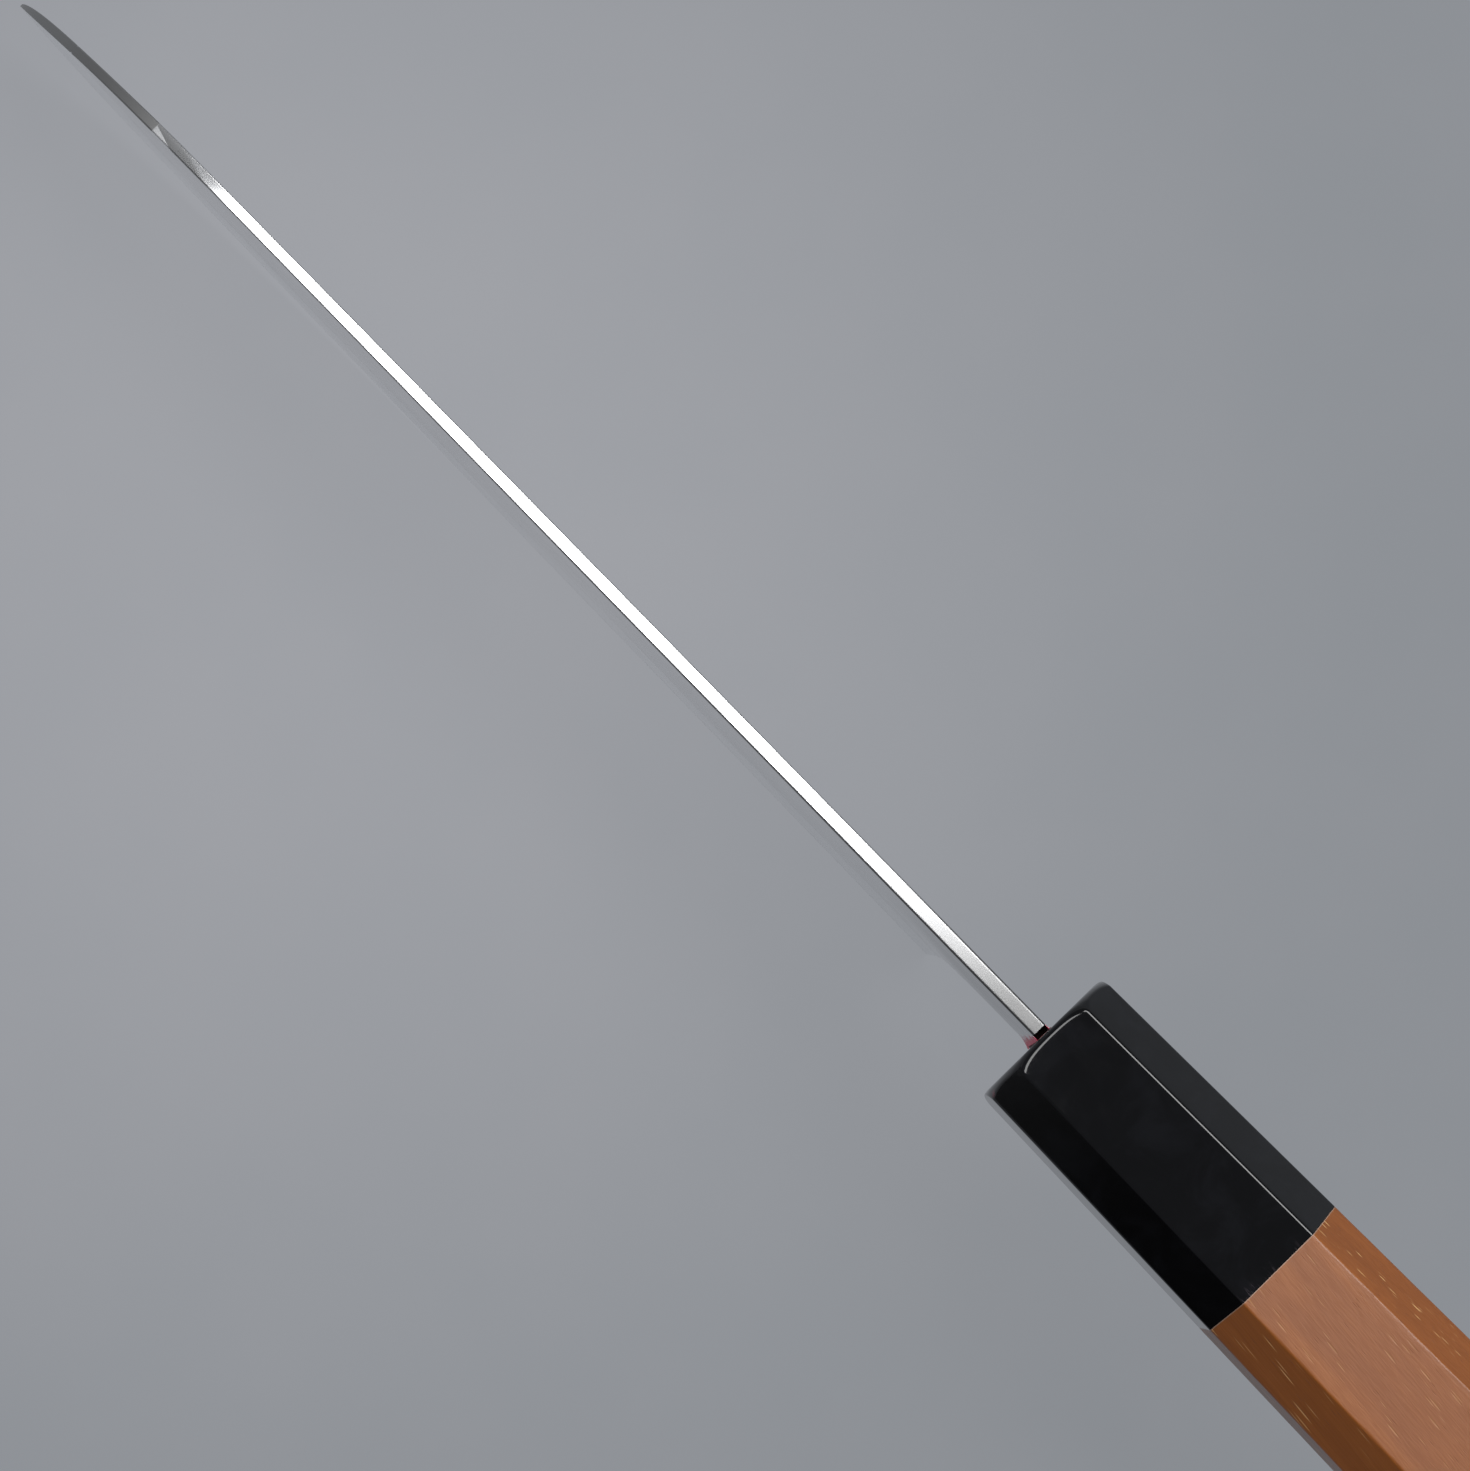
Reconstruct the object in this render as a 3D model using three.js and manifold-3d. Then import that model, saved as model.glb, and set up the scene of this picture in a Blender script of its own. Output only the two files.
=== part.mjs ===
// Santoku kitchen knife: a three-layer blade whose hidden tang is bedded in an eight-sided wooden handle.
// Millimetres. +X points to the tip, +Y to the knife's left and +Z up to the spine.
// The knife stands on the flat of its edge at z = 0, with the middle of its length at x = 0.

import * as THREE from 'three';
import { mergeVertices } from 'three/addons/utils/BufferGeometryUtils.js';
import Module from 'manifold-3d';

const wasm = await Module();
wasm.setup();

// Blade outline, seen from the side
const EDGE_LENGTH = 165; // heel corner to tip
const HEEL_HEIGHT = 46; // edge to spine above the heel corner
const PITCH = THREE.MathUtils.degToRad(4.5); // spine and handle rise toward the butt
const EDGE_FLAT = 60; // straight edge in front of the heel
const BELLY_RISE = 4.6; // slow rise of the edge from the flat to the tip
const SWEEP_RISE = 7.9; // quick rise of the edge close to the tip
const SWEEP_POWER = 12; // how late the quick rise comes
const TIP_DROP_LENGTH = 39; // the spine turns down over this length
const TIP_DROP_START_POWER = 2; // how softly the spine leaves its straight line
const TIP_DROP_END_POWER = 0.6; // how steeply it arrives at the tip
const TIP_BLUNT = 0.0003; // share of the drop length left off so the tip keeps a tiny face

// Blade thickness, as half thicknesses from the middle plane
const EDGE_HALF = 0.02; // at the very edge
const BEVEL_HEIGHT = 0.9; // height of the sharpened bevel
const SHOULDER_HALF = 0.16; // at the top of the bevel
const SPINE_HALF = 1.0; // at the spine above the heel
const GRIND_SLOPE = (SPINE_HALF - SHOULDER_HALF) / (HEEL_HEIGHT - BEVEL_HEIGHT);
const TIP_STOUT_START = 140; // from here to the tip the grind gets steeper, so the tip stays stout
const TIP_STOUT_GAIN = 1.6;
const TIP_STOUT_POWER = 3;
const SPINE_EASE_SHARE = 0.3; // eased spine corner, as a share of the half thickness
const BEVEL_SHARE = 0.2; // the bevel takes at most this share of the height near the tip

// Three-layer forging
const CORE_HALF = 0.33; // the hard core lies between the two soft layers
const LINE_HEIGHT = 13; // where the soft layers end, above the edge
const LINE_HEEL_RISE = 4.8; // the line climbs toward the heel
const LINE_HEEL_REACH = 55; // over this length
const LINE_WAVES = [{ height: 0.35, length: 23 }, { height: 0.25, length: 9.4 }];
const LINE_TIP_START = 138; // from here the line sweeps up to meet the spine
const LINE_TIP_LENGTH = 20;
const LINE_TIP_RISE = 13;
const LINE_STEP = 3; // spacing of the points along the line

// Neck, shoulder and tang
const NECK_LENGTH = 13.7; // heel corner to the mouth of the handle
const NECK_HEIGHT = 16;
const SWELL_START = 8; // in front of the heel the face begins to swell to the neck's thickness
const SWELL_END = -6; // and here it has reached it
const SWELL_LOW = 12; // below this level the blade stays thin
const SWELL_HIGH = 28; // above this level it swells fully
const SWELL_ROWS = 4; // steps of the swelling up the face
const CHOIL_STRAIGHT = 22; // upright stretch of the choil above the heel corner
const CHOIL_FILLET = 8; // length of the curve from choil to neck
const SHOULDER_GAP = 0.7; // the neck stops this far in front of the ferrule
const TANG_LENGTH = 84;
const TANG_HALF = 0.9;
const TANG_TOP = 3.6; // above the handle's axis at the mouth
const TANG_BOTTOM = -6.2;
const TANG_TAPER_TOP = 2.2; // lost over the tang's length
const TANG_TAPER_BOTTOM = 2.8;
const TANG_ROUND = 1.5;
const TANG_OVERLAP = 3; // the tang's stock starts inside the neck

// Handle, along its own axis from the mouth
const HANDLE_LENGTH = 128;
const FERRULE_LENGTH = 38.4;
const FRONT_WIDTH = 19.4;
const FRONT_HEIGHT = 23.4;
const BUTT_WIDTH = 24;
const BUTT_HEIGHT = 27.6;
const CHAMFER_WIDE = 4.35; // corner facet at the front, across
const CHAMFER_TALL = 5.6; // and up
const CHAMFER_GROWTH = 0.2; // growth of the corner facet from front to butt
const BUTT_EASE = 1; // eased edge around the butt
const SPINE_ABOVE_AXIS = 6.3;
const DOME_FLAT_RADIUS = 11.2; // flat middle of the ferrule's rounded front
const DOME_ROUND = 2.85; // rounding radius outside it
const DOME_SQUEEZE = 0.8; // the rounding is narrower across than up
const DOME_ARC_STEPS = 8;
const ROUND_SIDES = 64;

// Inside the handle
const FIT_GAP = 0.1; // glue gap between neighbours
const FRONT_WALL = 7; // ferrule thickness in front of its bore
const SLOT_HALF = 1.5; // half width of the tang's slot
const SLOT_TOP = 4.1;
const SLOT_BOTTOM = -6.7;
const SLOT_END = 86;
const DOWEL_RADIUS = 6.8;
const DOWEL_END = 91;
const DOWEL_AXIS = -1.3; // the dowel sits a little low, centred on the tang

// Resin seal at the mouth
const SEAL_REACH = 1.5; // how far it runs up the neck
const SEAL_WALL = 0.4;
const SEAL_TOP = 5;
const SEAL_GAP_TOP = 1.5; // level of the resin behind the neck's shoulder

// Larger than anything that a cutter has to pass through
const CLEAR = 20;

// Places along the knife
const BUTT_REACH = HANDLE_LENGTH * Math.cos(PITCH) + (BUTT_HEIGHT / 2 - BUTT_EASE) * Math.sin(PITCH);
const OVERALL_LENGTH = EDGE_LENGTH + NECK_LENGTH + BUTT_REACH;
const HEEL_X = OVERALL_LENGTH / 2 - EDGE_LENGTH;
const MOUTH_X = HEEL_X - NECK_LENGTH;

const STEEL_CORE = new THREE.MeshStandardMaterial({ color: 0x9a9ea4, roughness: 0.25, metalness: 1 });
const STEEL_SOFT = new THREE.MeshStandardMaterial({ color: 0xa8a9aa, roughness: 0.35, metalness: 1 });
const BLACK_GLOSS = new THREE.MeshStandardMaterial({ color: 0x0d0d0f, roughness: 0.18, metalness: 0 });
const BROWN_WOOD = new THREE.MeshStandardMaterial({ color: 0x8a4f22, roughness: 0.45, metalness: 0 });
const PALE_WOOD = new THREE.MeshStandardMaterial({ color: 0xc9a878, roughness: 0.7, metalness: 0 });
const DARK_RESIN = new THREE.MeshStandardMaterial({ color: 0x652429, roughness: 0.3, metalness: 0 });
const RED_RESIN = new THREE.MeshStandardMaterial({ color: 0x8c2233, roughness: 0.35, metalness: 0 });

// Closed geometry to solid and back

function solidOf(geometry) {
  geometry.deleteAttribute('normal');
  geometry.deleteAttribute('uv');
  const merged = mergeVertices(geometry);
  return new wasm.Manifold(new wasm.Mesh({
    numProp: 3,
    vertProperties: new Float32Array(merged.attributes.position.array),
    triVerts: new Uint32Array(merged.index.array),
  }));
}

function meshOf(name, solid, material) {
  const result = solid.getMesh();
  const geometry = new THREE.BufferGeometry();
  geometry.setAttribute('position', new THREE.Float32BufferAttribute(result.vertProperties, 3));
  geometry.setIndex(new THREE.Uint32BufferAttribute(result.triVerts, 1));
  geometry.computeVertexNormals();
  const mesh = new THREE.Mesh(geometry, material);
  mesh.name = name;
  return mesh;
}

// Skin over closed convex rings that follow each other along +X, each ring running from +Y up to +Z and on
function loft(rings) {
  const count = rings[0].length;
  const positions = rings.flat().flatMap((point) => point.toArray());
  const triangles = [];
  for (let ring = 0; ring + 1 < rings.length; ring += 1) {
    for (let side = 0; side < count; side += 1) {
      const next = (side + 1) % count;
      const near = ring * count;
      const far = near + count;
      triangles.push(near + side, near + next, far + next);
      triangles.push(near + side, far + next, far + side);
    }
  }
  const last = (rings.length - 1) * count;
  for (let side = 1; side + 1 < count; side += 1) {
    triangles.push(0, side + 1, side);
    triangles.push(last, last + side, last + side + 1);
  }
  const geometry = new THREE.BufferGeometry();
  geometry.setAttribute('position', new THREE.Float32BufferAttribute(positions, 3));
  geometry.setIndex(triangles);
  return geometry;
}

// Plate whose outline is drawn with the shape's x along X and its y along Z, between two levels of Y
function plate(outline, lowY, highY) {
  const geometry = new THREE.ExtrudeGeometry(outline, { depth: highY - lowY, bevelEnabled: false });
  geometry.rotateX(Math.PI / 2);
  geometry.translate(0, highY, 0);
  return geometry;
}

function block(low, high) {
  const size = new THREE.Vector3().subVectors(high, low);
  const middle = new THREE.Vector3().addVectors(low, high).multiplyScalar(0.5);
  return new THREE.BoxGeometry(size.x, size.y, size.z).translate(middle.x, middle.y, middle.z);
}

function rod(radius, backX, frontX, axisZ) {
  const geometry = new THREE.CylinderGeometry(radius, radius, frontX - backX, ROUND_SIDES);
  geometry.rotateZ(-Math.PI / 2);
  geometry.translate((backX + frontX) / 2, 0, axisZ);
  return geometry;
}

// Blade curves, as heights at a distance in front of the heel

function straightSpine(ahead) {
  return HEEL_HEIGHT - ahead * Math.tan(PITCH);
}

function edgeHeight(ahead) {
  const share = Math.max(0, (ahead - EDGE_FLAT) / (EDGE_LENGTH - EDGE_FLAT));
  return BELLY_RISE * share ** 2 + SWEEP_RISE * share ** SWEEP_POWER;
}

function spineHeight(ahead) {
  const share = Math.max(0, (ahead - EDGE_LENGTH + TIP_DROP_LENGTH) / TIP_DROP_LENGTH);
  const drop = straightSpine(EDGE_LENGTH) - edgeHeight(EDGE_LENGTH);
  const fall = 1 - (1 - share ** TIP_DROP_START_POWER) ** TIP_DROP_END_POWER;
  return straightSpine(ahead) - drop * fall;
}

function neckBottom(ahead) {
  return straightSpine(ahead) - NECK_HEIGHT / Math.cos(PITCH);
}

// Half thickness of the ground blade at a height above its edge: a sharpened bevel under one long flat
function groundHalf(ahead, height) {
  if (height < BEVEL_HEIGHT) {
    return EDGE_HALF + (SHOULDER_HALF - EDGE_HALF) * height / BEVEL_HEIGHT;
  }
  const towardTip = Math.max(0, (ahead - TIP_STOUT_START) / (EDGE_LENGTH - TIP_STOUT_START));
  const steepness = 1 + TIP_STOUT_GAIN * towardTip ** TIP_STOUT_POWER;
  return SHOULDER_HALF + GRIND_SLOPE * steepness * (height - BEVEL_HEIGHT);
}

// Cross-section of the blade: edge, bevel, flat and eased spine corner, up the left side and down the right
function bladeRing(ahead) {
  const low = edgeHeight(ahead);
  const height = spineHeight(ahead) - low;
  const { lerp, smoothstep } = THREE.MathUtils;
  const nearNeck = smoothstep(-ahead, -SWELL_START, -SWELL_END);
  const swell = (level) => nearNeck * smoothstep(level, SWELL_LOW, SWELL_HIGH);
  const half = (level) => lerp(groundHalf(ahead, level), SPINE_HALF, swell(level));
  const ease = SPINE_EASE_SHARE * Math.min(half(height), height);
  const bevel = Math.min(BEVEL_HEIGHT, BEVEL_SHARE * height);
  const softCorner = SPINE_EASE_SHARE * ease;
  const leftSide = [
    [half(0), 0],
    [half(bevel), bevel],
  ];
  for (let row = 0; row <= SWELL_ROWS; row += 1) {
    const level = lerp(SWELL_LOW, SWELL_HIGH, row / SWELL_ROWS) * (height / HEEL_HEIGHT);
    leftSide.push([half(level), level]);
  }
  leftSide.push(
    [half(height - ease), height - ease],
    [half(height) - softCorner, height - softCorner],
    [half(height) - ease, height],
  );
  const rightSide = leftSide.map(([side, level]) => [-side, level]).reverse();
  return leftSide.concat(rightSide).map(
    ([side, level]) => new THREE.Vector3(HEEL_X + ahead, side, low + level),
  );
}

function bladeStations() {
  const stations = [];
  const neckSteps = 8;
  const bellySteps = 16;
  const tipSteps = 28;
  const behindMouth = -NECK_LENGTH - NECK_HEIGHT;
  const tipStart = EDGE_LENGTH - TIP_DROP_LENGTH;
  stations.push(behindMouth);
  for (let step = 0; step <= neckSteps; step += 1) {
    stations.push(THREE.MathUtils.lerp(SWELL_END, SWELL_START, step / neckSteps));
  }
  for (let step = 0; step < bellySteps; step += 1) {
    stations.push(THREE.MathUtils.lerp(EDGE_FLAT, tipStart, step / bellySteps));
  }
  for (let step = 0; step <= tipSteps; step += 1) {
    const share = Math.sin((Math.PI / 2) * (step / tipSteps)) * (1 - TIP_BLUNT);
    stations.push(tipStart + TIP_DROP_LENGTH * share);
  }
  return stations;
}

// Space below the neck and behind the heel: an upright choil that curves into the neck's lower edge
function choilOutline() {
  const outline = new THREE.Shape();
  const behind = -NECK_LENGTH - CLEAR;
  outline.moveTo(HEEL_X, -CLEAR);
  outline.lineTo(HEEL_X, CHOIL_STRAIGHT);
  outline.quadraticCurveTo(HEEL_X, neckBottom(0), HEEL_X - CHOIL_FILLET, neckBottom(-CHOIL_FILLET));
  outline.lineTo(HEEL_X + behind, neckBottom(behind));
  outline.lineTo(HEEL_X + behind, -CLEAR);
  return outline;
}

// Tang seen from the side, in the handle's own axes, grown all round by a clearance
function tangOutline(clearance) {
  const outline = new THREE.Shape();
  const end = -TANG_LENGTH - clearance;
  const endTop = TANG_TOP - TANG_TAPER_TOP + clearance;
  const endBottom = TANG_BOTTOM + TANG_TAPER_BOTTOM - clearance;
  outline.moveTo(TANG_OVERLAP, TANG_TOP + clearance);
  outline.lineTo(end + TANG_ROUND, endTop);
  outline.quadraticCurveTo(end, endTop, end, endTop - TANG_ROUND);
  outline.lineTo(end, endBottom + TANG_ROUND);
  outline.quadraticCurveTo(end, endBottom, end + TANG_ROUND, endBottom);
  outline.lineTo(TANG_OVERLAP, TANG_BOTTOM - clearance);
  return outline;
}

// Side view of everything that the soft layers cover: all above a gently wavy line
function coveredOutline() {
  const lineHeight = (ahead) => {
    const along = Math.max(0, ahead);
    const heel = LINE_HEEL_RISE * Math.exp(-((along / LINE_HEEL_REACH) ** 2));
    const tip = LINE_TIP_RISE * Math.max(0, (along - LINE_TIP_START) / LINE_TIP_LENGTH) ** 2;
    const waves = LINE_WAVES.map((wave) => wave.height * Math.sin((2 * Math.PI * along) / wave.length));
    return edgeHeight(along) + LINE_HEIGHT + heel + tip + waves.reduce((sum, wave) => sum + wave, 0);
  };
  const rear = -NECK_LENGTH - HANDLE_LENGTH;
  const roof = HEEL_HEIGHT + CLEAR;
  const outline = new THREE.Shape();
  outline.moveTo(HEEL_X + rear, roof);
  outline.lineTo(HEEL_X + rear, lineHeight(rear));
  for (let ahead = 0; ahead <= EDGE_LENGTH; ahead += LINE_STEP) {
    outline.lineTo(HEEL_X + ahead, lineHeight(ahead));
  }
  outline.lineTo(HEEL_X + EDGE_LENGTH, roof);
  return outline;
}

// Handle's own axes: the mouth is the origin and +X runs out of it toward the tip

const handle = new THREE.Group();
handle.position.set(MOUTH_X, 0, straightSpine(-NECK_LENGTH) - SPINE_ABOVE_AXIS / Math.cos(PITCH));
handle.rotation.y = PITCH;
handle.updateMatrix();

// Eight-sided section of the handle at a distance behind the mouth, drawn in all round by an inset
function handleRing(behind, inset) {
  const share = behind / HANDLE_LENGTH;
  const halfWidth = THREE.MathUtils.lerp(FRONT_WIDTH, BUTT_WIDTH, share) / 2 - inset;
  const halfHeight = THREE.MathUtils.lerp(FRONT_HEIGHT, BUTT_HEIGHT, share) / 2 - inset;
  const growth = 1 + CHAMFER_GROWTH * share;
  const sideHalf = halfHeight - CHAMFER_TALL * growth;
  const topHalf = halfWidth - CHAMFER_WIDE * growth;
  const corners = [
    [halfWidth, -sideHalf], [halfWidth, sideHalf], [topHalf, halfHeight], [-topHalf, halfHeight],
    [-halfWidth, sideHalf], [-halfWidth, -sideHalf], [-topHalf, -halfHeight], [topHalf, -halfHeight],
  ];
  return corners.map(([y, z]) => new THREE.Vector3(-behind, y, z));
}

// Turned envelope of the ferrule: a flat middle, a rounded rim, and clear space behind it
function domeEnvelope() {
  const outside = DOME_FLAT_RADIUS + DOME_ROUND + CLEAR;
  const back = -FERRULE_LENGTH - CLEAR;
  const profile = [
    new THREE.Vector2(0, back),
    new THREE.Vector2(outside, back),
    new THREE.Vector2(outside, -DOME_ROUND),
  ];
  for (let step = 0; step <= DOME_ARC_STEPS; step += 1) {
    const turn = (Math.PI / 2) * (step / DOME_ARC_STEPS);
    profile.push(new THREE.Vector2(
      DOME_FLAT_RADIUS + DOME_ROUND * Math.cos(turn),
      DOME_ROUND * Math.sin(turn) - DOME_ROUND,
    ));
  }
  profile.push(new THREE.Vector2(0, 0));
  const geometry = new THREE.LatheGeometry(profile, ROUND_SIDES);
  geometry.rotateZ(-Math.PI / 2);
  geometry.scale(1, DOME_SQUEEZE, 1);
  return geometry;
}

function tangSlot(frontX) {
  return block(
    new THREE.Vector3(-SLOT_END, -SLOT_HALF, SLOT_BOTTOM),
    new THREE.Vector3(frontX, SLOT_HALF, SLOT_TOP),
  );
}

// Blade: ground bar, less the choil and everything behind the shoulder, with the tang added

function makeBlade() {
  const bar = solidOf(loft(bladeStations().map(bladeRing)));
  const choil = solidOf(plate(choilOutline(), -CLEAR, CLEAR));
  const behindShoulder = solidOf(block(
    new THREE.Vector3(-HANDLE_LENGTH, -CLEAR, -2 * CLEAR),
    new THREE.Vector3(SHOULDER_GAP, CLEAR, 2 * CLEAR),
  ).applyMatrix4(handle.matrix));
  const tang = solidOf(plate(tangOutline(0), -TANG_HALF, TANG_HALF).applyMatrix4(handle.matrix));
  return bar.subtract(choil).subtract(behindShoulder).add(tang);
}

const blade = makeBlade();
const leftCover = solidOf(plate(coveredOutline(), CORE_HALF, CLEAR));
const rightCover = solidOf(plate(coveredOutline(), -CLEAR, -CORE_HALF));

// Ferrule: eight-sided block with a rounded front, a slot for the tang and a bore for the dowel

function makeFerrule() {
  const body = solidOf(loft([handleRing(FERRULE_LENGTH, 0), handleRing(0, 0)]));
  const bore = solidOf(rod(DOWEL_RADIUS + FIT_GAP, -FERRULE_LENGTH - CLEAR, -FRONT_WALL, DOWEL_AXIS));
  return body.intersect(solidOf(domeEnvelope())).subtract(solidOf(tangSlot(CLEAR))).subtract(bore);
}

// Grip: the same eight-sided taper carried on to an eased butt, bored from the front for the dowel

function makeHandleBody() {
  const body = solidOf(loft([
    handleRing(HANDLE_LENGTH, BUTT_EASE),
    handleRing(HANDLE_LENGTH - BUTT_EASE, 0),
    handleRing(FERRULE_LENGTH + FIT_GAP, 0),
  ]));
  return body.subtract(solidOf(rod(DOWEL_RADIUS + FIT_GAP, -DOWEL_END - FIT_GAP, CLEAR, DOWEL_AXIS)));
}

// Dowel: round stick with a blind slot for the tang

function makeDowel() {
  const stick = solidOf(rod(DOWEL_RADIUS, -DOWEL_END, -FRONT_WALL - FIT_GAP, DOWEL_AXIS));
  return stick.subtract(solidOf(tangSlot(CLEAR)));
}

// Bedding: resin that fills the slot around the tang

function makeBedding() {
  const filling = solidOf(block(
    new THREE.Vector3(-SLOT_END + FIT_GAP, -SLOT_HALF + FIT_GAP, SLOT_BOTTOM + FIT_GAP),
    new THREE.Vector3(-FIT_GAP, SLOT_HALF - FIT_GAP, SLOT_TOP - FIT_GAP),
  ));
  const room = TANG_HALF + FIT_GAP;
  return filling.subtract(solidOf(plate(tangOutline(FIT_GAP), -room, room)));
}

// Seal: resin collar under and beside the end of the neck, and around the tang behind it

function makeSeal() {
  const neckHalf = SPINE_HALF + FIT_GAP;
  const neckFloor = SPINE_ABOVE_AXIS - NECK_HEIGHT - FIT_GAP;
  const shoulder = SHOULDER_GAP - FIT_GAP;
  const tangRoom = TANG_HALF + FIT_GAP;
  const collar = solidOf(block(
    new THREE.Vector3(FIT_GAP, -neckHalf - SEAL_WALL, neckFloor - SEAL_WALL),
    new THREE.Vector3(SEAL_REACH, neckHalf + SEAL_WALL, SEAL_TOP),
  ));
  const neck = solidOf(block(
    new THREE.Vector3(shoulder, -neckHalf, neckFloor),
    new THREE.Vector3(CLEAR, neckHalf, CLEAR),
  ));
  const aboveGap = solidOf(block(
    new THREE.Vector3(-CLEAR, -CLEAR, SEAL_GAP_TOP),
    new THREE.Vector3(shoulder, CLEAR, CLEAR),
  ));
  const tang = solidOf(plate(tangOutline(FIT_GAP), -tangRoom, tangRoom));
  return collar.subtract(neck).subtract(aboveGap).subtract(tang);
}

handle.add(
  meshOf('ferrule', makeFerrule(), BLACK_GLOSS),
  meshOf('handle_body', makeHandleBody(), BROWN_WOOD),
  meshOf('tang_dowel', makeDowel(), PALE_WOOD),
  meshOf('tang_epoxy', makeBedding(), DARK_RESIN),
  meshOf('mouth_seal', makeSeal(), RED_RESIN),
);

const knife = new THREE.Group();
knife.add(
  meshOf('core_steel', blade.subtract(leftCover).subtract(rightCover), STEEL_CORE),
  meshOf('left_cladding', blade.intersect(leftCover), STEEL_SOFT),
  meshOf('right_cladding', blade.intersect(rightCover), STEEL_SOFT),
  handle,
);

export default knife;
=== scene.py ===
import math

import bpy
import numpy as np
from mathutils import Euler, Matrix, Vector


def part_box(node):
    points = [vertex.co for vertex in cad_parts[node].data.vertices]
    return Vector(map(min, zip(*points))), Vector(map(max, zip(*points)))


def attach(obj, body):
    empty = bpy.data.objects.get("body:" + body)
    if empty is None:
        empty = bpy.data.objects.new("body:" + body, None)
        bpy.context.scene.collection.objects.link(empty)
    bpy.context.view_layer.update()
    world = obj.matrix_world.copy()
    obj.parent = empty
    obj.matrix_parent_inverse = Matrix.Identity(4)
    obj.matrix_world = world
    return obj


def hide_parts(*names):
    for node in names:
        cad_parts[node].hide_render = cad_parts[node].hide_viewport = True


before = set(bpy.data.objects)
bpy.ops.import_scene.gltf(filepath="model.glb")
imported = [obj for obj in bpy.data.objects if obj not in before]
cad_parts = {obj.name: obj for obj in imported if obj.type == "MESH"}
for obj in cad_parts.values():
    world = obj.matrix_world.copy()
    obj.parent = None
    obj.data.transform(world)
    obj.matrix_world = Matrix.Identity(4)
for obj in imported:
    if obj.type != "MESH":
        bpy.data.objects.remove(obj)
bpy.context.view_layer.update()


# Hard core of the blade
# A thin sheet of hard steel that runs from the tip to the end of the tang. It is forge-welded between two
# softer sheets, and the grind lays it bare along the edge, where it takes the sharpened bevel.

MM = 0.001  # shapes are worked out in millimetres, and the scene is in metres
PITCH = math.radians(4.5)  # spine and handle rise toward the butt
EDGE_LENGTH = 165.0
HEEL_HEIGHT = 46.0
EDGE_FLAT = 60.0
BELLY_RISE = 4.6
SWEEP_RISE = 7.9
SWEEP_POWER = 12
TIP_DROP_LENGTH = 39.0
TIP_DROP_START_POWER = 2.0
TIP_DROP_END_POWER = 0.6
TIP_BLUNT = 0.0003

EDGE_HALF = 0.02
BEVEL_HEIGHT = 0.9
BEVEL_SHARE = 0.2
SHOULDER_HALF = 0.16
SPINE_HALF = 1.0
GRIND_SLOPE = (SPINE_HALF - SHOULDER_HALF) / (HEEL_HEIGHT - BEVEL_HEIGHT)
TIP_STOUT_START = 140.0
TIP_STOUT_GAIN = 1.6
TIP_STOUT_POWER = 3
SPINE_EASE_SHARE = 0.34  # eased spine corner, as a share of the half thickness
SPINE_CROWN_SHARE = 0.008  # the spine's top is crowned by this share of the half thickness

CORE_HALF = 0.33
LINE_HEIGHT = 13.0
LINE_HEEL_RISE = 4.8
LINE_HEEL_REACH = 55.0
LINE_WAVES = ((0.35, 23.0), (0.25, 9.4))
LINE_TIP_START = 138.0
LINE_TIP_LENGTH = 20.0
LINE_TIP_RISE = 13.0

NECK_LENGTH = 13.7
NECK_HEIGHT = 16.0
SWELL_START, SWELL_END = 8.0, -6.0
SWELL_LOW, SWELL_HIGH = 12.0, 28.0
CHOIL_STRAIGHT = 22.0
CHOIL_FILLET = 8.0
SHOULDER_GAP = 0.7
SPINE_ABOVE_AXIS = 6.3
TANG_LENGTH = 84.0
TANG_HALF = 0.9
TANG_TOP, TANG_BOTTOM = 3.6, -6.2
TANG_TAPER_TOP, TANG_TAPER_BOTTOM = 2.2, 2.8
TANG_ROUND = 1.5
TANG_STRAIGHT = -70.0
TANG_TURNS, TANG_STATIONS = 7, 19
WELD_ROOM = 0.02  # the layers of the tang keep this far apart

HEEL_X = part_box("core_steel")[1].x / MM - EDGE_LENGTH
AXIS_LEVEL = HEEL_HEIGHT + NECK_LENGTH * math.tan(PITCH) - SPINE_ABOVE_AXIS / math.cos(PITCH)


def soft_step(value, low, high):
    """Cubic step: 0 below low, 1 above high and a smooth rise between them."""
    share = np.clip((value - low) / (high - low), 0, 1)
    return share * share * (3 - 2 * share)


def between(first, last, share):
    """Straight mix of two values: the first at share 0 and the last at share 1."""
    return first + (last - first) * share


def square_curve(start, corner, end, turn):
    """Curve from start to end drawn toward a corner: the sum of the three by the square law's shares."""
    return (1 - turn) ** 2 * start + 2 * turn * (1 - turn) * corner + turn**2 * end


def straight_spine(ahead):
    """Height of the spine's straight line, which falls toward the tip at the pitch angle."""
    return HEEL_HEIGHT - ahead * math.tan(PITCH)


def edge_height(ahead):
    """Height of the edge: flat, then a square law for the belly plus a high power for the sweep."""
    share = np.clip((ahead - EDGE_FLAT) / (EDGE_LENGTH - EDGE_FLAT), 0, 1)
    return BELLY_RISE * share**2 + SWEEP_RISE * share**SWEEP_POWER


def spine_height(ahead):
    """Height of the spine: the straight line less a drop that starts softly and ends steeply at the tip."""
    share = np.clip((ahead - EDGE_LENGTH + TIP_DROP_LENGTH) / TIP_DROP_LENGTH, 0, 1)
    drop = straight_spine(EDGE_LENGTH) - BELLY_RISE - SWEEP_RISE
    return straight_spine(ahead) - drop * (1 - (1 - share**TIP_DROP_START_POWER) ** TIP_DROP_END_POWER)


def spine_upright(ahead):
    """Cosine of the spine's slope, from a short central difference."""
    step = 0.02
    fall = (spine_height(ahead - step) - spine_height(ahead + step)) / (2 * step)
    return 1 / np.sqrt(1 + fall**2)


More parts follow.
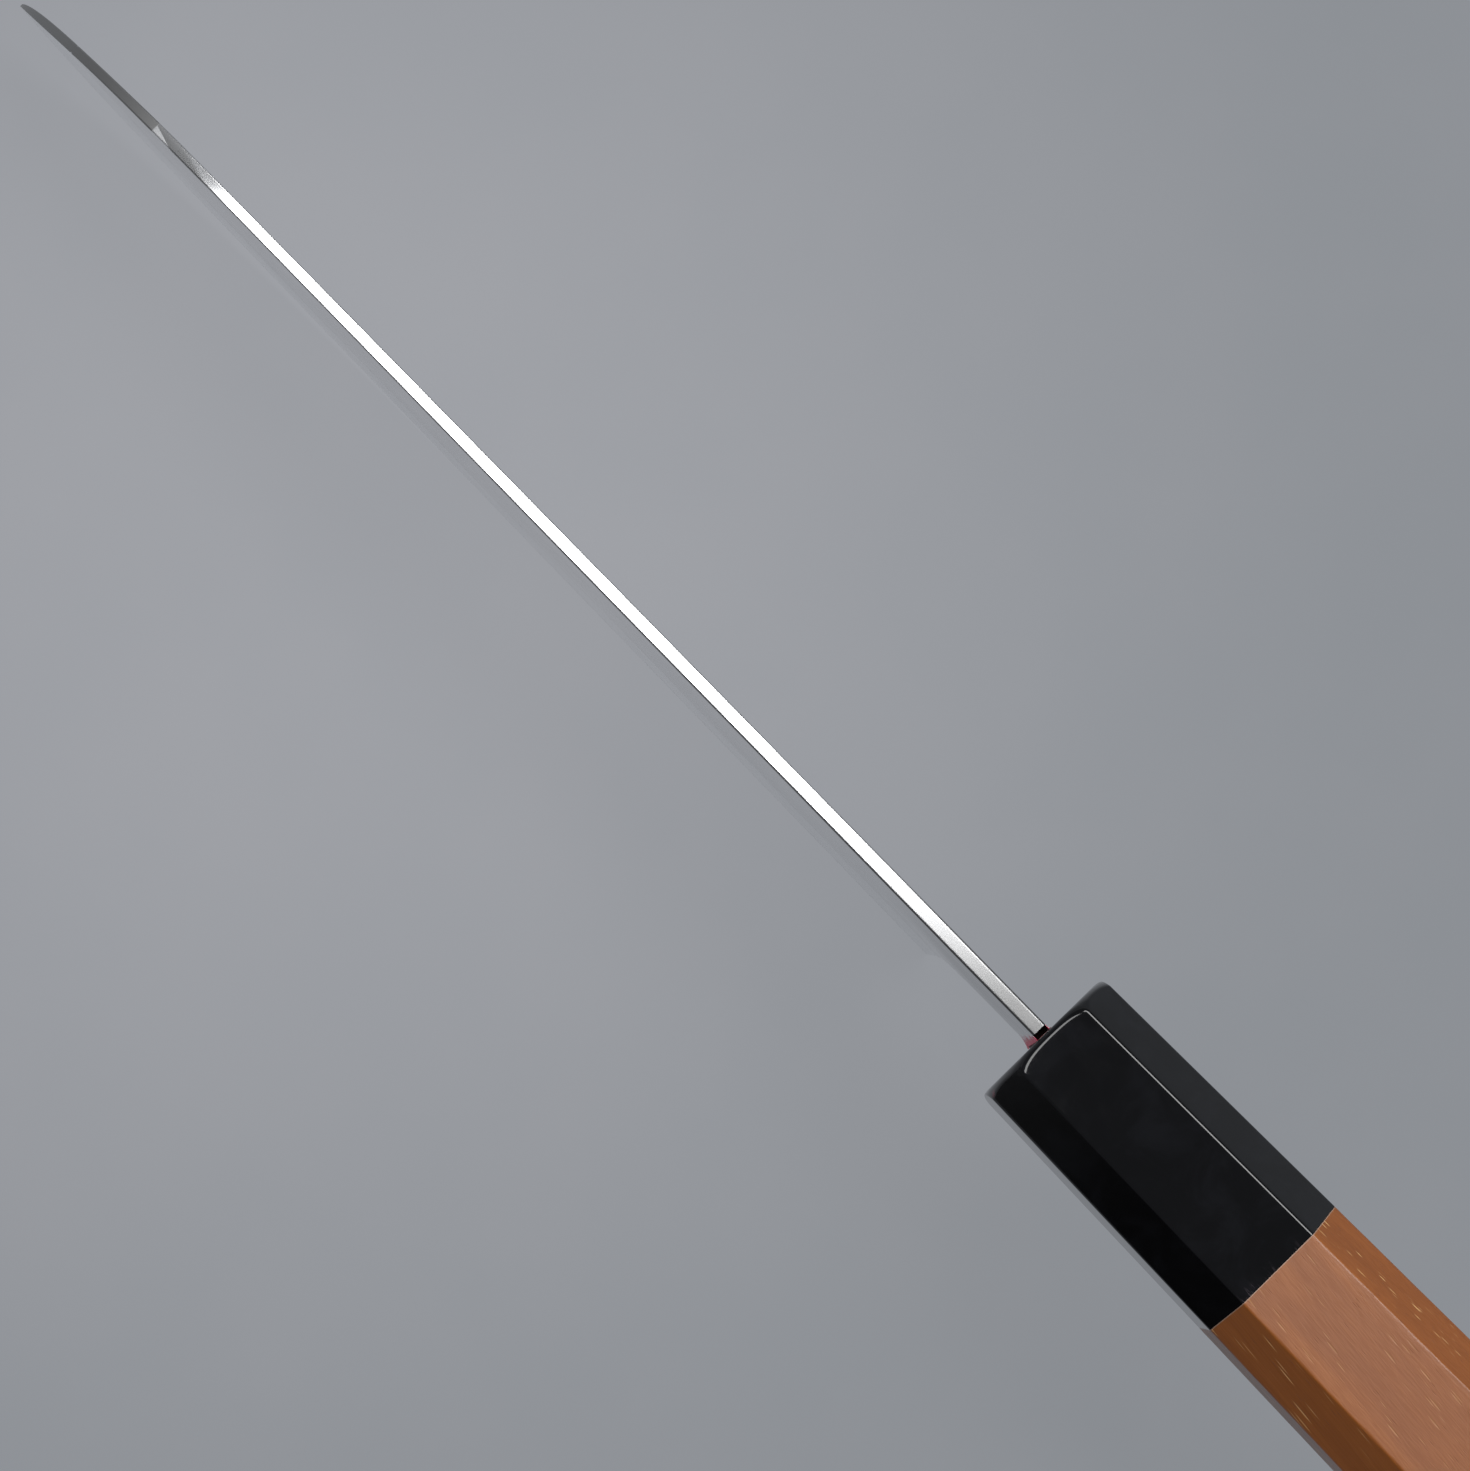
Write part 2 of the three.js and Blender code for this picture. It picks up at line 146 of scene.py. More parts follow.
def neck_bottom(ahead):
    """Lower edge of the neck, parallel to the straight spine."""
    return straight_spine(ahead) - NECK_HEIGHT / math.cos(PITCH)


def line_height(ahead):
    """Height of the weld line: a set way over the edge, higher at the heel, wavy, and up at the tip."""
    along = np.maximum(ahead, 0)
    heel = LINE_HEEL_RISE * np.exp(-((along / LINE_HEEL_REACH) ** 2))
    tip = LINE_TIP_RISE * np.maximum(0, (along - LINE_TIP_START) / LINE_TIP_LENGTH) ** 2
    waves = sum(height * np.sin(2 * math.pi * along / length) for height, length in LINE_WAVES)
    return edge_height(along) + LINE_HEIGHT + heel + tip + waves


def blade_half(ahead, above):
    """Half thickness at a height above the edge: a steep bevel, then one flat that swells near the neck."""
    bevel = EDGE_HALF + (SHOULDER_HALF - EDGE_HALF) * above / BEVEL_HEIGHT
    toward_tip = np.clip((ahead - TIP_STOUT_START) / (EDGE_LENGTH - TIP_STOUT_START), 0, 1)
    slope = GRIND_SLOPE * (1 + TIP_STOUT_GAIN * toward_tip**TIP_STOUT_POWER)
    ground = np.where(above < BEVEL_HEIGHT, bevel, SHOULDER_HALF + slope * (above - BEVEL_HEIGHT))
    swell = soft_step(-ahead, -SWELL_START, -SWELL_END) * soft_step(above, SWELL_LOW, SWELL_HIGH)
    return between(ground, SPINE_HALF, swell)


def spine_half(ahead):
    """Half thickness of the blade at the level of its spine, before the corners are eased."""
    return blade_half(ahead, spine_height(ahead) - edge_height(ahead))


def corner_level(ahead):
    """Level of the spine's flat where the eased corner begins, lower than the middle by the crown."""
    return spine_height(ahead) - SPINE_CROWN_SHARE * spine_half(ahead)


def skin_half(ahead, level):
    """Half thickness at a level: the ground half less a quarter round close under the spine's corner."""
    radius = SPINE_EASE_SHARE * spine_half(ahead)
    below = (corner_level(ahead) - level) * spine_upright(ahead)
    short = np.clip(radius - below, 0, radius)
    return blade_half(ahead, level - edge_height(ahead)) - radius + np.sqrt(radius**2 - short**2)


def from_handle(along, up):
    """Turns places along and above the handle's axis into (ahead of the heel, level): a turn by the pitch."""
    ahead = -NECK_LENGTH + along * math.cos(PITCH) + up * math.sin(PITCH)
    level = AXIS_LEVEL - along * math.sin(PITCH) + up * math.cos(PITCH)
    return ahead, level


def tang_outline():
    """Lower and upper outline of the tang from its rounded end to the shoulder: two straight tapers."""
    turn = np.linspace(0, math.pi / 2, TANG_TURNS)
    straight = np.linspace(TANG_STRAIGHT, SHOULDER_GAP, TANG_STATIONS - TANG_TURNS)
    along = np.concatenate([TANG_ROUND * (1 - np.cos(turn)) - TANG_LENGTH, straight])
    drawn_in = np.concatenate([TANG_ROUND * (1 - np.sin(turn)), 0 * straight])
    back = np.clip(-along / TANG_LENGTH, 0, 1)
    bottom = from_handle(along, TANG_BOTTOM + TANG_TAPER_BOTTOM * back + drawn_in)
    top = from_handle(along, TANG_TOP - TANG_TAPER_TOP * back - drawn_in)
    return bottom, top


NECK_LINES, FILLET_LINES = 9, 19
FAN_BACK, FAN_MIDDLE, FAN_FRONT = 1.0, -1.5, 5.0  # how far the lines lean forward about the choil
FAN_REACH = 40.0  # and over this length of the edge they turn upright


def blade_outline(lower, wall_levels, stations):
    """Lower ends and upper ends of the lines that cross the blade from below to its spine.

    They start at the shoulder, follow the neck, the round of the choil (a square curve) and its upright wall,
    and then the given lower curve to the tip. Near the choil their upper ends fan out along the spine.
    """
    share = np.linspace(0, 1, NECK_LINES)
    shoulder = np.array([SPINE_ABOVE_AXIS - NECK_HEIGHT, SPINE_ABOVE_AXIS])
    start_low, start_high = from_handle(SHOULDER_GAP, shoulder)[0]
    neck = between(start_low, -CHOIL_FILLET, share)
    neck_over = between(start_high, FAN_BACK - CHOIL_FILLET, share)
    turn = np.linspace(0, 1, FILLET_LINES)[1:]
    fillet = square_curve(-CHOIL_FILLET, 0, 0, turn)
    fillet_level = square_curve(neck_bottom(-CHOIL_FILLET), neck_bottom(0), CHOIL_STRAIGHT, turn)
    fillet_over = between(FAN_BACK - CHOIL_FILLET, FAN_MIDDLE, turn)
    wall_share = np.arange(1, len(wall_levels) + 1) / len(wall_levels)
    wall_over = between(FAN_MIDDLE, FAN_FRONT, wall_share)
    over = stations + FAN_FRONT * (1 - soft_step(stations, 0, FAN_REACH))
    ahead = np.concatenate([neck, fillet, np.zeros(len(wall_levels)), stations])
    level = np.concatenate([neck_bottom(neck), fillet_level, wall_levels, lower(stations)])
    return (ahead, level), np.concatenate([neck_over, fillet_over, wall_over, over])


def crossing_lines(lower, wall_levels, stations):
    """Lines across tang and blade, as columns: lower ends (ahead, level), upper ends (over, high), and which
    of them are on the blade.
    """
    (ahead, level), over = blade_outline(lower, wall_levels, stations)
    (tang_ahead, tang_level), (tang_over, tang_high) = tang_outline()
    ahead = np.concatenate([tang_ahead, ahead])[:, None]
    level = np.concatenate([tang_level, level])[:, None]
    high = np.concatenate([tang_high, corner_level(over)])[:, None]
    over = np.concatenate([tang_over, over])[:, None]
    blade = np.arange(len(ahead))[:, None] >= TANG_STATIONS
    return ahead, level, over, high, blade


def eased_share(over, height):
    """Height of the spine's eased corner, drawn out by the spine's slope, as a share of a line's height."""
    return SPINE_EASE_SHARE * spine_half(over) / spine_upright(over) / height


def make_piece(name, rings, closed=False, sharp=32):
    """Mesh of closed rings in millimetres, an array (ring, point, 3), each ring joined to the next by quads.

    The end rings are capped, unless closed joins the last ring to the first. Faces are turned outwards by the
    sign of the enclosed volume, which is the sum of the triple products of all corners over six.
    """
    count, around = rings.shape[:2]
    points = rings.reshape(-1, 3) * MM
    ring = np.arange(count if closed else count - 1)[:, None] * around
    after = (ring + around) % (count * around)
    side = np.arange(around)[None, :]
    beside = (side + 1) % around
    quads = np.stack([ring + side, ring + beside, after + beside, after + side], -1).reshape(-1, 4)
    faces = [quads]
    if not closed:
        faces += [side[:, ::-1], side + (count - 1) * around]
    volume = 0
    for group in faces:
        first = points[group[:, :1]]
        volume += np.sum(first * np.cross(points[group[:, 1:-1]], points[group[:, 2:]]))
    mesh = bpy.data.meshes.new(name)
    order = 1 if volume > 0 else -1
    mesh.from_pydata(points.tolist(), [], [face for group in faces for face in group[:, ::order].tolist()])
    mesh.shade_smooth()
    mesh.set_sharp_from_angle(angle=math.radians(sharp))
    piece = bpy.data.objects.new(name, mesh)
    bpy.context.scene.collection.objects.link(piece)
    return piece


def note_points(piece, name, values):
    """Keeps one number for each point of a piece, for its material to read."""
    note = piece.data.attributes.new(name, "FLOAT", "POINT")
    note.data.foreach_set("value", np.ascontiguousarray(values, np.float32).ravel())


def finish_blade(name, rings, polish, side=1):
    """One layer of the blade from its rings (ahead, half, level), mirrored to its side of the middle.

    Each point keeps whether it is polished or on the forged tang, and its height over the weld line.
    """
    piece = make_piece(name, rings * (1, side, 1) + (HEEL_X, 0, 0))
    forged = np.broadcast_to(np.arange(len(rings))[:, None] < TANG_STATIONS, polish.shape)
    note_points(piece, "polish", polish)
    note_points(piece, "forged", forged)
    note_points(piece, "over_line", rings[..., 2] - line_height(rings[..., 0]))
    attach(piece, "root")
    return piece


BODY_END = EDGE_LENGTH - TIP_DROP_LENGTH
BODY_LINES, TIP_LINES = 128, 121
FIRST_LINE = 0.05  # ahead of the heel, and as far above the edge
WALL_LINES, LOW_WALL_LINES = 7, 14
CORE_STEP, LAYER_STEP = 0.06, 0.05  # from the weld line's end at the choil to the next line below or above it
CORE_ROWS, LAYER_ROWS = 15, 21
CORNER_TURNS = np.sin(np.linspace(0, math.pi / 2, 8))[1:]
CORE_CORNER_MOST, LAYER_CORNER_MOST = 0.5, 0.6  # an eased corner takes at most this share of a line
LINE_PASSES = 6
WELD_STEP, WELD_SEARCH_STEPS = 0.01, 20001
THIN_SHARE = 0.004  # rows under the weld line keep this share of the height where the layers hide the core
LEDGE_LIFT = 0.2  # of that share
LEDGE_ACROSS, ROOF_ACROSS = 0.66, 0.33  # points across the bare spine, as shares of its half

body_stations = np.linspace(FIRST_LINE, BODY_END, BODY_LINES)
tip_turn = np.linspace(0, math.pi / 2, TIP_LINES)[1:]
tip_stations = BODY_END + TIP_DROP_LENGTH * (1 - TIP_BLUNT) * np.sin(tip_turn)
weld_search = np.linspace(BODY_END, EDGE_LENGTH - 1, WELD_SEARCH_STEPS)
weld_top = weld_search[np.argmax(line_height(weld_search) > corner_level(weld_search))]
weld_stations = weld_top + WELD_STEP * np.array([-1, 1])  # the weld line meets the spine between these two
tip_stations = np.sort(np.concatenate([tip_stations, weld_stations]))
weld_end = line_height(0.0)


def core_rings():
    """Rings of the core: up the left face, over the ledge under the soft layer to the spine, down the right.

    Where a line crosses the weld line is found by putting the last answer in again, a few times.
    """
    high_wall = np.linspace(CHOIL_STRAIGHT, weld_end, WALL_LINES)[1:]
    low_wall = np.linspace(weld_end - CORE_STEP, FIRST_LINE, LOW_WALL_LINES)
    wall = np.concatenate([high_wall, low_wall])
    stations = np.concatenate([body_stations, tip_stations])
    ahead, level, over, high, blade = crossing_lines(edge_height, wall, stations)
    height = high - level
    share = (line_height(ahead) - level) / height
    for _ in range(LINE_PASSES):
        share = (line_height(between(ahead, over, share)) - level) / height
    bare = (share > 0) & blade
    share = np.clip(np.where(bare, share, THIN_SHARE), THIN_SHARE, 1)
    covered = share < 1
    bevel = np.minimum(BEVEL_HEIGHT / height, BEVEL_SHARE * share)
    corner = np.minimum(eased_share(over, height), CORE_CORNER_MOST * share)
    flat = between(bevel, share - corner, np.linspace(0, 1, CORE_ROWS))
    rows = np.concatenate([0 * share, flat, share - corner * (1 - CORNER_TURNS)], 1)
    row_ahead = between(ahead, over, rows)
    row_level = between(level, high, rows)
    hidden_half = CORE_HALF - WELD_ROOM * ~blade
    half = skin_half(row_ahead, row_level)
    half = np.where(bare, half, hidden_half)
    top_half = half[:, -1:]
    ledge_half = np.where(covered, hidden_half, LEDGE_ACROSS * top_half)
    ledge_level = np.where(covered, row_level[:, -1:] + LEDGE_LIFT * THIN_SHARE * height, high)
    roof_half = np.where(covered, hidden_half, ROOF_ACROSS * top_half)
    middle = np.where(blade, spine_height(over), high)
    reach = np.where(covered, spine_half(over) * (1 - SPINE_EASE_SHARE), top_half)
    roof_level = np.where(blade, middle - (middle - high) * (roof_half / reach) ** 2, high)
    ledge_level = np.where(covered, ledge_level, middle - (middle - high) * (ledge_half / reach) ** 2)
    left = np.stack([
        np.concatenate([row_ahead, np.where(covered, row_ahead[:, -1:], over), over], 1),
        np.concatenate([half, ledge_half, roof_half], 1),
        np.concatenate([row_level, ledge_level, roof_level], 1),
    ], -1)
    ridge = np.stack([over, 0 * over, middle], -1)
    right = left[:, ::-1] * (1, -1, 1)
    rings = np.concatenate([left, ridge, right], 1)
    polish = np.zeros(left.shape[:2])
    polish[:, -2:] = 1
    polish[:, CORE_ROWS + 1 : -2] = np.where(covered, 0, 1)
    polish = np.concatenate([polish, np.ones((len(left), 1)), polish[:, ::-1]], 1)
    return rings, polish


def add_node(tree, kind, sockets=None, **settings):
    """A shader node with its settings, each named socket set to a value or linked from another socket."""
    made = tree.nodes.new(kind)
    for name, value in settings.items():
        setattr(made, name, value)
    for name, value in (sockets or {}).items():
        if isinstance(value, bpy.types.NodeSocket):
            tree.links.new(value, made.inputs[name])
        else:
            made.inputs[name].default_value = value
    return made


def mixed(tree, mask, first, second):
    """Colour that goes from the first to the second as the mask goes from 0 to 1."""
    node = add_node(tree, "ShaderNodeMix", {0: mask, 6: first, 7: second}, data_type="RGBA")
    return node.outputs[2]


def mapped(tree, value, low, high, to_low=0.0, to_high=1.0, smooth=True):
    """A value's stretch from low to high spread over another stretch, clamped at both ends."""
    kind = "SMOOTHSTEP" if smooth else "LINEAR"
    sockets = {"Value": value, "From Min": low, "From Max": high, "To Min": to_low, "To Max": to_high}
    return add_node(tree, "ShaderNodeMapRange", sockets, interpolation_type=kind).outputs[0]


def fading(tree, value, inside, outside):
    """Mask that falls from 1 to 0 as a value goes from inside to outside."""
    return mapped(tree, value, inside, outside, 1.0, 0.0)


def worked(tree, operation, result, *others):
    """Arithmetic on values in turn: each step takes the result so far and the next value."""
    for other in others:
        result = add_node(tree, "ShaderNodeMath", {0: result, 1: other}, operation=operation).outputs[0]
    return result


def times(tree, *values):
    """Product of values."""
    return worked(tree, "MULTIPLY", *values)


def speckled(tree, place, scale, detail=2.0, roughness=0.5, distortion=0.0):
    """Noise value at a place, with features of about one over the scale in metres."""
    sockets = {"Vector": place, "Scale": scale, "Detail": detail}
    sockets |= {"Roughness": roughness, "Distortion": distortion}
    return add_node(tree, "ShaderNodeTexNoise", sockets).outputs["Fac"]


def measured(tree, operation, first, second):
    """One number from two vectors: their distance or their dot product."""
    sockets = {0: first, 1: second}
    return add_node(tree, "ShaderNodeVectorMath", sockets, operation=operation).outputs["Value"]


def drawn_out(tree, place, stretch, shift=(0, 0, 0)):
    """A place times a stretch for each axis, plus a shift, so that patterns on it are drawn out."""
    sockets = {0: place, 1: stretch, 2: shift}
    return add_node(tree, "ShaderNodeVectorMath", sockets, operation="MULTIPLY_ADD").outputs[0]


def own_place(tree):
    """Place on the piece in its own coordinates, in metres."""
    return add_node(tree, "ShaderNodeTexCoord").outputs["Object"]


def own_facing(tree):
    """Parts along X, Y and Z of the direction that the surface faces, in the piece's own coordinates."""
    facing = add_node(tree, "ShaderNodeTexCoord").outputs["Normal"]
    return add_node(tree, "ShaderNodeSeparateXYZ", {0: facing}).outputs


def noted(tree, name):
    """The number that a piece keeps for each of its points under this name."""
    return add_node(tree, "ShaderNodeAttribute", attribute_name=name).outputs["Fac"]


def grey(level):
    """Neutral colour of one level."""
    return (level, level, level, 1)


def new_material(name):
    """Empty node material with its surface shader: returns the material, its tree and the shader."""
    material = bpy.data.materials.new(name)
    material.use_nodes = True
    tree = material.node_tree
    tree.nodes.clear()
    shader = add_node(tree, "ShaderNodeBsdfPrincipled")
    add_node(tree, "ShaderNodeOutputMaterial", {"Surface": shader.outputs[0]})
    return material, tree, shader


def dress(tree, shader, varying):
    """Links varying colours, values and directions to a shader's inputs of these names."""
    for name, value in varying.items():
        tree.links.new(value, shader.inputs[name])


def relief(tree, height, strength, depth):
    """Surface direction of a fine relief: its height goes from 0 to 1 over a depth in metres."""
    sockets = {"Height": height, "Strength": strength, "Distance": depth}
    return add_node(tree, "ShaderNodeBump", sockets).outputs[0]


def hairline_group():
    """Fine lines left by grinding along the blade: noise drawn out along X, as a value from 0 to 1."""
    group = bpy.data.node_groups.new("grinding_lines", "ShaderNodeTree")
    group.interface.new_socket("Fineness", in_out="INPUT", socket_type="NodeSocketFloat")
    group.interface.new_socket("Stretch", in_out="INPUT", socket_type="NodeSocketVector")
    group.interface.new_socket("Lines", in_out="OUTPUT", socket_type="NodeSocketFloat")
    given = add_node(group, "NodeGroupInput").outputs
    drawn = drawn_out(group, own_place(group), given["Stretch"])
    fine = speckled(group, drawn, given["Fineness"], detail=3.0, roughness=0.6)
    add_node(group, "NodeGroupOutput", {"Lines": mapped(group, fine, 0.3, 0.7)})
    return group


grinding_lines = hairline_group()


def ground_lines(tree, fineness, stretch):
    """The grinding lines in a material, with their fineness and their stretch along each axis."""
    sockets = {"Fineness": fineness, "Stretch": stretch}
    return add_node(tree, "ShaderNodeGroup", sockets, node_tree=grinding_lines).outputs["Lines"]


SPINE_ROUGH, REAR_ROUGH, SATIN_ROUGH, TIP_ROUGH, SCALE_ROUGH = 0.17, 0.36, 0.32, 0.42, 0.45
SATIN_START = 127.0  # ahead of the heel, as are the places below
BREAK_START, BREAK_END = 138.7, 139.0  # here the spine's polish stops short of the tip, and the rough tip beyond is painted darker as shade
SHADE_START, SHADE_END = 130.6, 133.2  # before it painted shade darkens the left of the spine, along a slanting line
SHADE_SLANT = 3.7
SHADE_RIGHT, SHADE_LEFT, SHADE_LEAST, SHADE_MOST = -0.7, 0.3, 0.4, 0.75  # the painted shade deepens from right to left
WEDGE_POINT = 135.4  # and a painted highlight, a bright wedge, widens from the left corner to the break
WEDGE_EDGE, WEDGE_SOFT = 0.7, 0.12
WEDGE_SLANT = 0.3
NICK_AT, NICK_ASIDE, NICK_SIZE, NICK_DEEP = 134.7, 0.1, 0.18, 0.4  # a painted dark spot as the shade of a small nick; its full depth reaches this share of its size
NECK_SHADE, NECK_SHADE_START, NECK_SHADE_END = 0.6, 14.0, -4.0  # the neck's faces are painted darker as shade
NECK_SHADE_LOW, NECK_SHADE_HIGH = 24.0, 36.0  # from this level up
CORNER_SHADE, CORNER_SHADE_START, CORNER_SHADE_END = 1.0, 150.0, 10.0  # and the spine's left corner is painted darker as shade
CORNER_UPRIGHT, CORNER_TURNED = 0.25, 0.6  # which is where the surface turns this far to the left
REAR_START, REAR_SATIN, REAR_END = 32.0, 8.0, -12.0  # over the heel the spine turns satin, and painted shade darkens it ever more toward the handle


def finish_group():
    """Finish of the blade's layers: satin faces, a polished spine, a rough tip and scale on the tang, with
    painted shade on the tip, on the left of the spine before it, at a nick, on the left corner, on the neck
    and on the rear spine, and a painted highlight in a wedge near the tip.

    All are masks and values. Those at the tip are smooth steps across straight lines in plan.
    """
    group = bpy.data.node_groups.new("blade_finish", "ShaderNodeTree")
    for name in ("Lines", "Keen", "Dull"):
        group.interface.new_socket(name, in_out="INPUT", socket_type="NodeSocketFloat")
    for name in ("Roughness", "Faces", "Painted shade", "Rear shade", "Scale"):
        group.interface.new_socket(name, in_out="OUTPUT", socket_type="NodeSocketFloat")
    given = add_node(group, "NodeGroupInput").outputs
    place = own_place(group)
    plan = add_node(group, "ShaderNodeSeparateXYZ", {0: place}).outputs
    ahead = worked(group, "DIVIDE", worked(group, "SUBTRACT", plan["X"], HEEL_X * MM), MM)
    across = worked(group, "DIVIDE", plan["Y"], MM)
    past_break = mapped(group, ahead, BREAK_START, BREAK_END)
    before = worked(group, "SUBTRACT", 1.0, past_break)
    slant = worked(group, "ADD", ahead, times(group, across, SHADE_SLANT))
    deeper = mapped(group, across, SHADE_RIGHT, SHADE_LEFT, SHADE_LEAST, SHADE_MOST)
    shade = times(group, mapped(group, slant, SHADE_START, SHADE_END), deeper)
    # Painted highlight: a wedge where the painted shade is taken away; it is also rougher.
    grown = times(group, worked(group, "SUBTRACT", ahead, WEDGE_POINT), WEDGE_SLANT)
    wedge = mapped(group, worked(group, "ADD", across, grown), WEDGE_EDGE, WEDGE_EDGE + WEDGE_SOFT)
    wedge = times(group, wedge, before)
    # Painted shade of a small nick: a dark spot that fades out over its size.
    nick_place = np.array([HEEL_X + NICK_AT, NICK_ASIDE, spine_height(NICK_AT)]) * MM
    away = measured(group, "DISTANCE", place, nick_place)
    nick = fading(group, away, NICK_DEEP * NICK_SIZE * MM, NICK_SIZE * MM)
    # Painted shade on the spine: the slanting shade and the tip past the break, less the wedge's painted
    # highlight.
    dull = worked(group, "SUBTRACT", worked(group, "MAXIMUM", shade, past_break), wedge)
    # Painted shade on the spine's left corner where it turns to the left, fading out toward the tip.
    turned_left = mapped(group, own_facing(group)["Y"], CORNER_UPRIGHT, CORNER_TURNED)
    corner = mapped(group, ahead, CORNER_SHADE_END, CORNER_SHADE_START, CORNER_SHADE, 0.0)
    corner = times(group, corner, turned_left)
    spine_shade = worked(group, "MAXIMUM", dull, nick, corner)
    polish = noted(group, "polish")
    faces = worked(group, "SUBTRACT", 1.0, polish)
    # Painted shade on the neck's faces, from the given level up.
    neck = mapped(group, ahead, NECK_SHADE_END, NECK_SHADE_START, NECK_SHADE, 0.0)
    raised = mapped(group, plan["Z"], NECK_SHADE_LOW * MM, NECK_SHADE_HIGH * MM)
    neck = times(group, neck, faces, raised)
    satin = mapped(group, ahead, SATIN_START, BREAK_START, SPINE_ROUGH, SATIN_ROUGH)
    rear_satin = mapped(group, ahead, REAR_SATIN, REAR_START, REAR_ROUGH, SPINE_ROUGH)
    satin = times(group, worked(group, "MAXIMUM", satin, rear_satin), before)
    tip = times(group, past_break, TIP_ROUGH)
    rubbed = times(group, wedge, TIP_ROUGH - SATIN_ROUGH)
    spine = times(group, worked(group, "ADD", satin, tip, rubbed), polish)
    face = add_node(group, "ShaderNodeMapRange", {
        "Value": given["Lines"], "To Min": given["Keen"], "To Max": given["Dull"],
    }).outputs[0]
    forged = noted(group, "forged")
    scale = times(group, forged, SCALE_ROUGH)
    # Painted shade that darkens the polished spine toward the handle.
    rear = fading(group, ahead, REAR_END, REAR_START)
    add_node(group, "NodeGroupOutput", {
        "Roughness": worked(group, "ADD", spine, times(group, face, faces), scale),
        "Faces": faces,
        # Painted shade: the spine's, on its polished parts, and the neck's faces.
        "Painted shade": worked(group, "ADD", times(group, spine_shade, polish), neck),
        "Rear shade": times(group, rear, polish),
        "Scale": forged,
    })
    return group


blade_finish = finish_group()
# Tones mixed in: the painted shade, the rear spine's painted shade, and the tang's own black scale.
PAINTED_SHADE_TONE, REAR_SHADE_TONE, SCALE_TONE = (0.39, 0.39, 0.385, 1), grey(0.2), (0.02, 0.012, 0.01, 1)
GRIND_RELIEF, GRIND_DEPTH = 0.1, 0.00001


def finish_steel(tree, shader, tone, lines, finish):
    """Joins a steel's tone and finish to its shader: painted shade on tip, spine and neck, painted shade on
    the rear spine, black scale on the tang, lines in relief.
    """
    # The painted shade and the rear spine's painted shade darken the steel's tone here.
    tone = mixed(tree, finish["Painted shade"], tone, PAINTED_SHADE_TONE)
    tone = mixed(tree, finish["Rear shade"], tone, REAR_SHADE_TONE)
    tone = mixed(tree, finish["Scale"], tone, SCALE_TONE)
    ground = relief(tree, times(tree, lines, finish["Faces"]), GRIND_RELIEF, GRIND_DEPTH)
    shader.inputs["Metallic"].default_value = 1.0
    dress(tree, shader, {"Base Color": tone, "Roughness": finish["Roughness"], "Normal": ground})


def blade_finished(tree, lines, keen, dull):
    """The blade's finish in a material, with its faces between keen and dull along the lines."""
    sockets = {"Lines": lines, "Keen": keen, "Dull": dull}
    return add_node(tree, "ShaderNodeGroup", sockets, node_tree=blade_finish).outputs


GRIND_STRETCH = (0.012, 0.3, 1.0)
GRIND_DARK = 0.2
CORE_LINES, CORE_CLOUDS = 4200.0, 90.0
CORE_KEEN, CORE_DULL = 0.11, 0.19
CORE_TONE, CORE_PALE, CORE_LINE_TONE = (0.9, 0.91, 0.92, 1), (0.95, 0.955, 0.96, 1), (0.68, 0.69, 0.7, 1)


def cloudy(tree, scale):
    """Soft clouds on a piece, as a mask from 0 to 1."""
    return mapped(tree, speckled(tree, own_place(tree), scale, detail=3.0), 0.35, 0.65)


def core_steel_material():
    """Bright hard steel: fine lengthwise lines and a faint cloudy tone."""
    material, tree, shader = new_material("core_steel")
    lines = ground_lines(tree, CORE_LINES, GRIND_STRETCH)
    tone = mixed(tree, cloudy(tree, CORE_CLOUDS), CORE_TONE, CORE_PALE)
    tone = mixed(tree, times(tree, lines, GRIND_DARK), tone, CORE_LINE_TONE)
    finish_steel(tree, shader, tone, lines, blade_finished(tree, lines, CORE_KEEN, CORE_DULL))
    return material


core = finish_blade("hard_core", *core_rings())
core.data.materials.append(core_steel_material())
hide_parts("core_steel")


# Soft layers of the blade
# Two sheets of softer stainless steel, one on each side of the core, that end in a wavy weld line above the
# edge. Their faces have a satin grind, and the spine is polished between eased corners.

LAYER_THIN = 0.002
SPINE_POINTS = 5


def layer_foot(ahead):
    """Lower end of a soft layer: the weld line, kept just under the spine's corner where the two meet."""
    return np.minimum(line_height(ahead), corner_level(ahead) - LAYER_THIN)


def layer_rings():
    """Rings of the left soft layer: up its face, over the eased corner and crowned spine, down the core."""
    stations = np.concatenate([body_stations, tip_stations[tip_stations <= weld_stations[1]]])
    wall = np.linspace(CHOIL_STRAIGHT, weld_end + LAYER_STEP, WALL_LINES)[1:]
    ahead, level, over, high, blade = crossing_lines(layer_foot, wall, stations)
    corner = np.minimum(eased_share(over, high - level), LAYER_CORNER_MOST)
    flat = between(0 * corner, 1 - corner, np.linspace(0, 1, LAYER_ROWS))
    rows = np.concatenate([flat, 1 - corner * (1 - CORNER_TURNS)], 1)
    row_ahead = between(ahead, over, rows)
    row_level = between(level, high, rows)
    half = np.where(blade, skin_half(row_ahead, row_level), TANG_HALF)
    inner = CORE_HALF + WELD_ROOM * ~blade
    across = between(half[:, -1:], inner, np.linspace(0, 1, SPINE_POINTS)[1:])
    middle = np.where(blade, spine_height(over), high)
    top_level = middle - (middle - high) * (across / half[:, -1:]) ** 2
    rings = np.stack([
        np.concatenate([row_ahead, over + 0 * across, ahead], 1),
        np.concatenate([half, across, inner], 1),
        np.concatenate([row_level, top_level, level], 1),
    ], -1)
    polish = np.zeros(rings.shape[:2])
    polish[:, LAYER_ROWS:-1] = 1
    return rings, polish


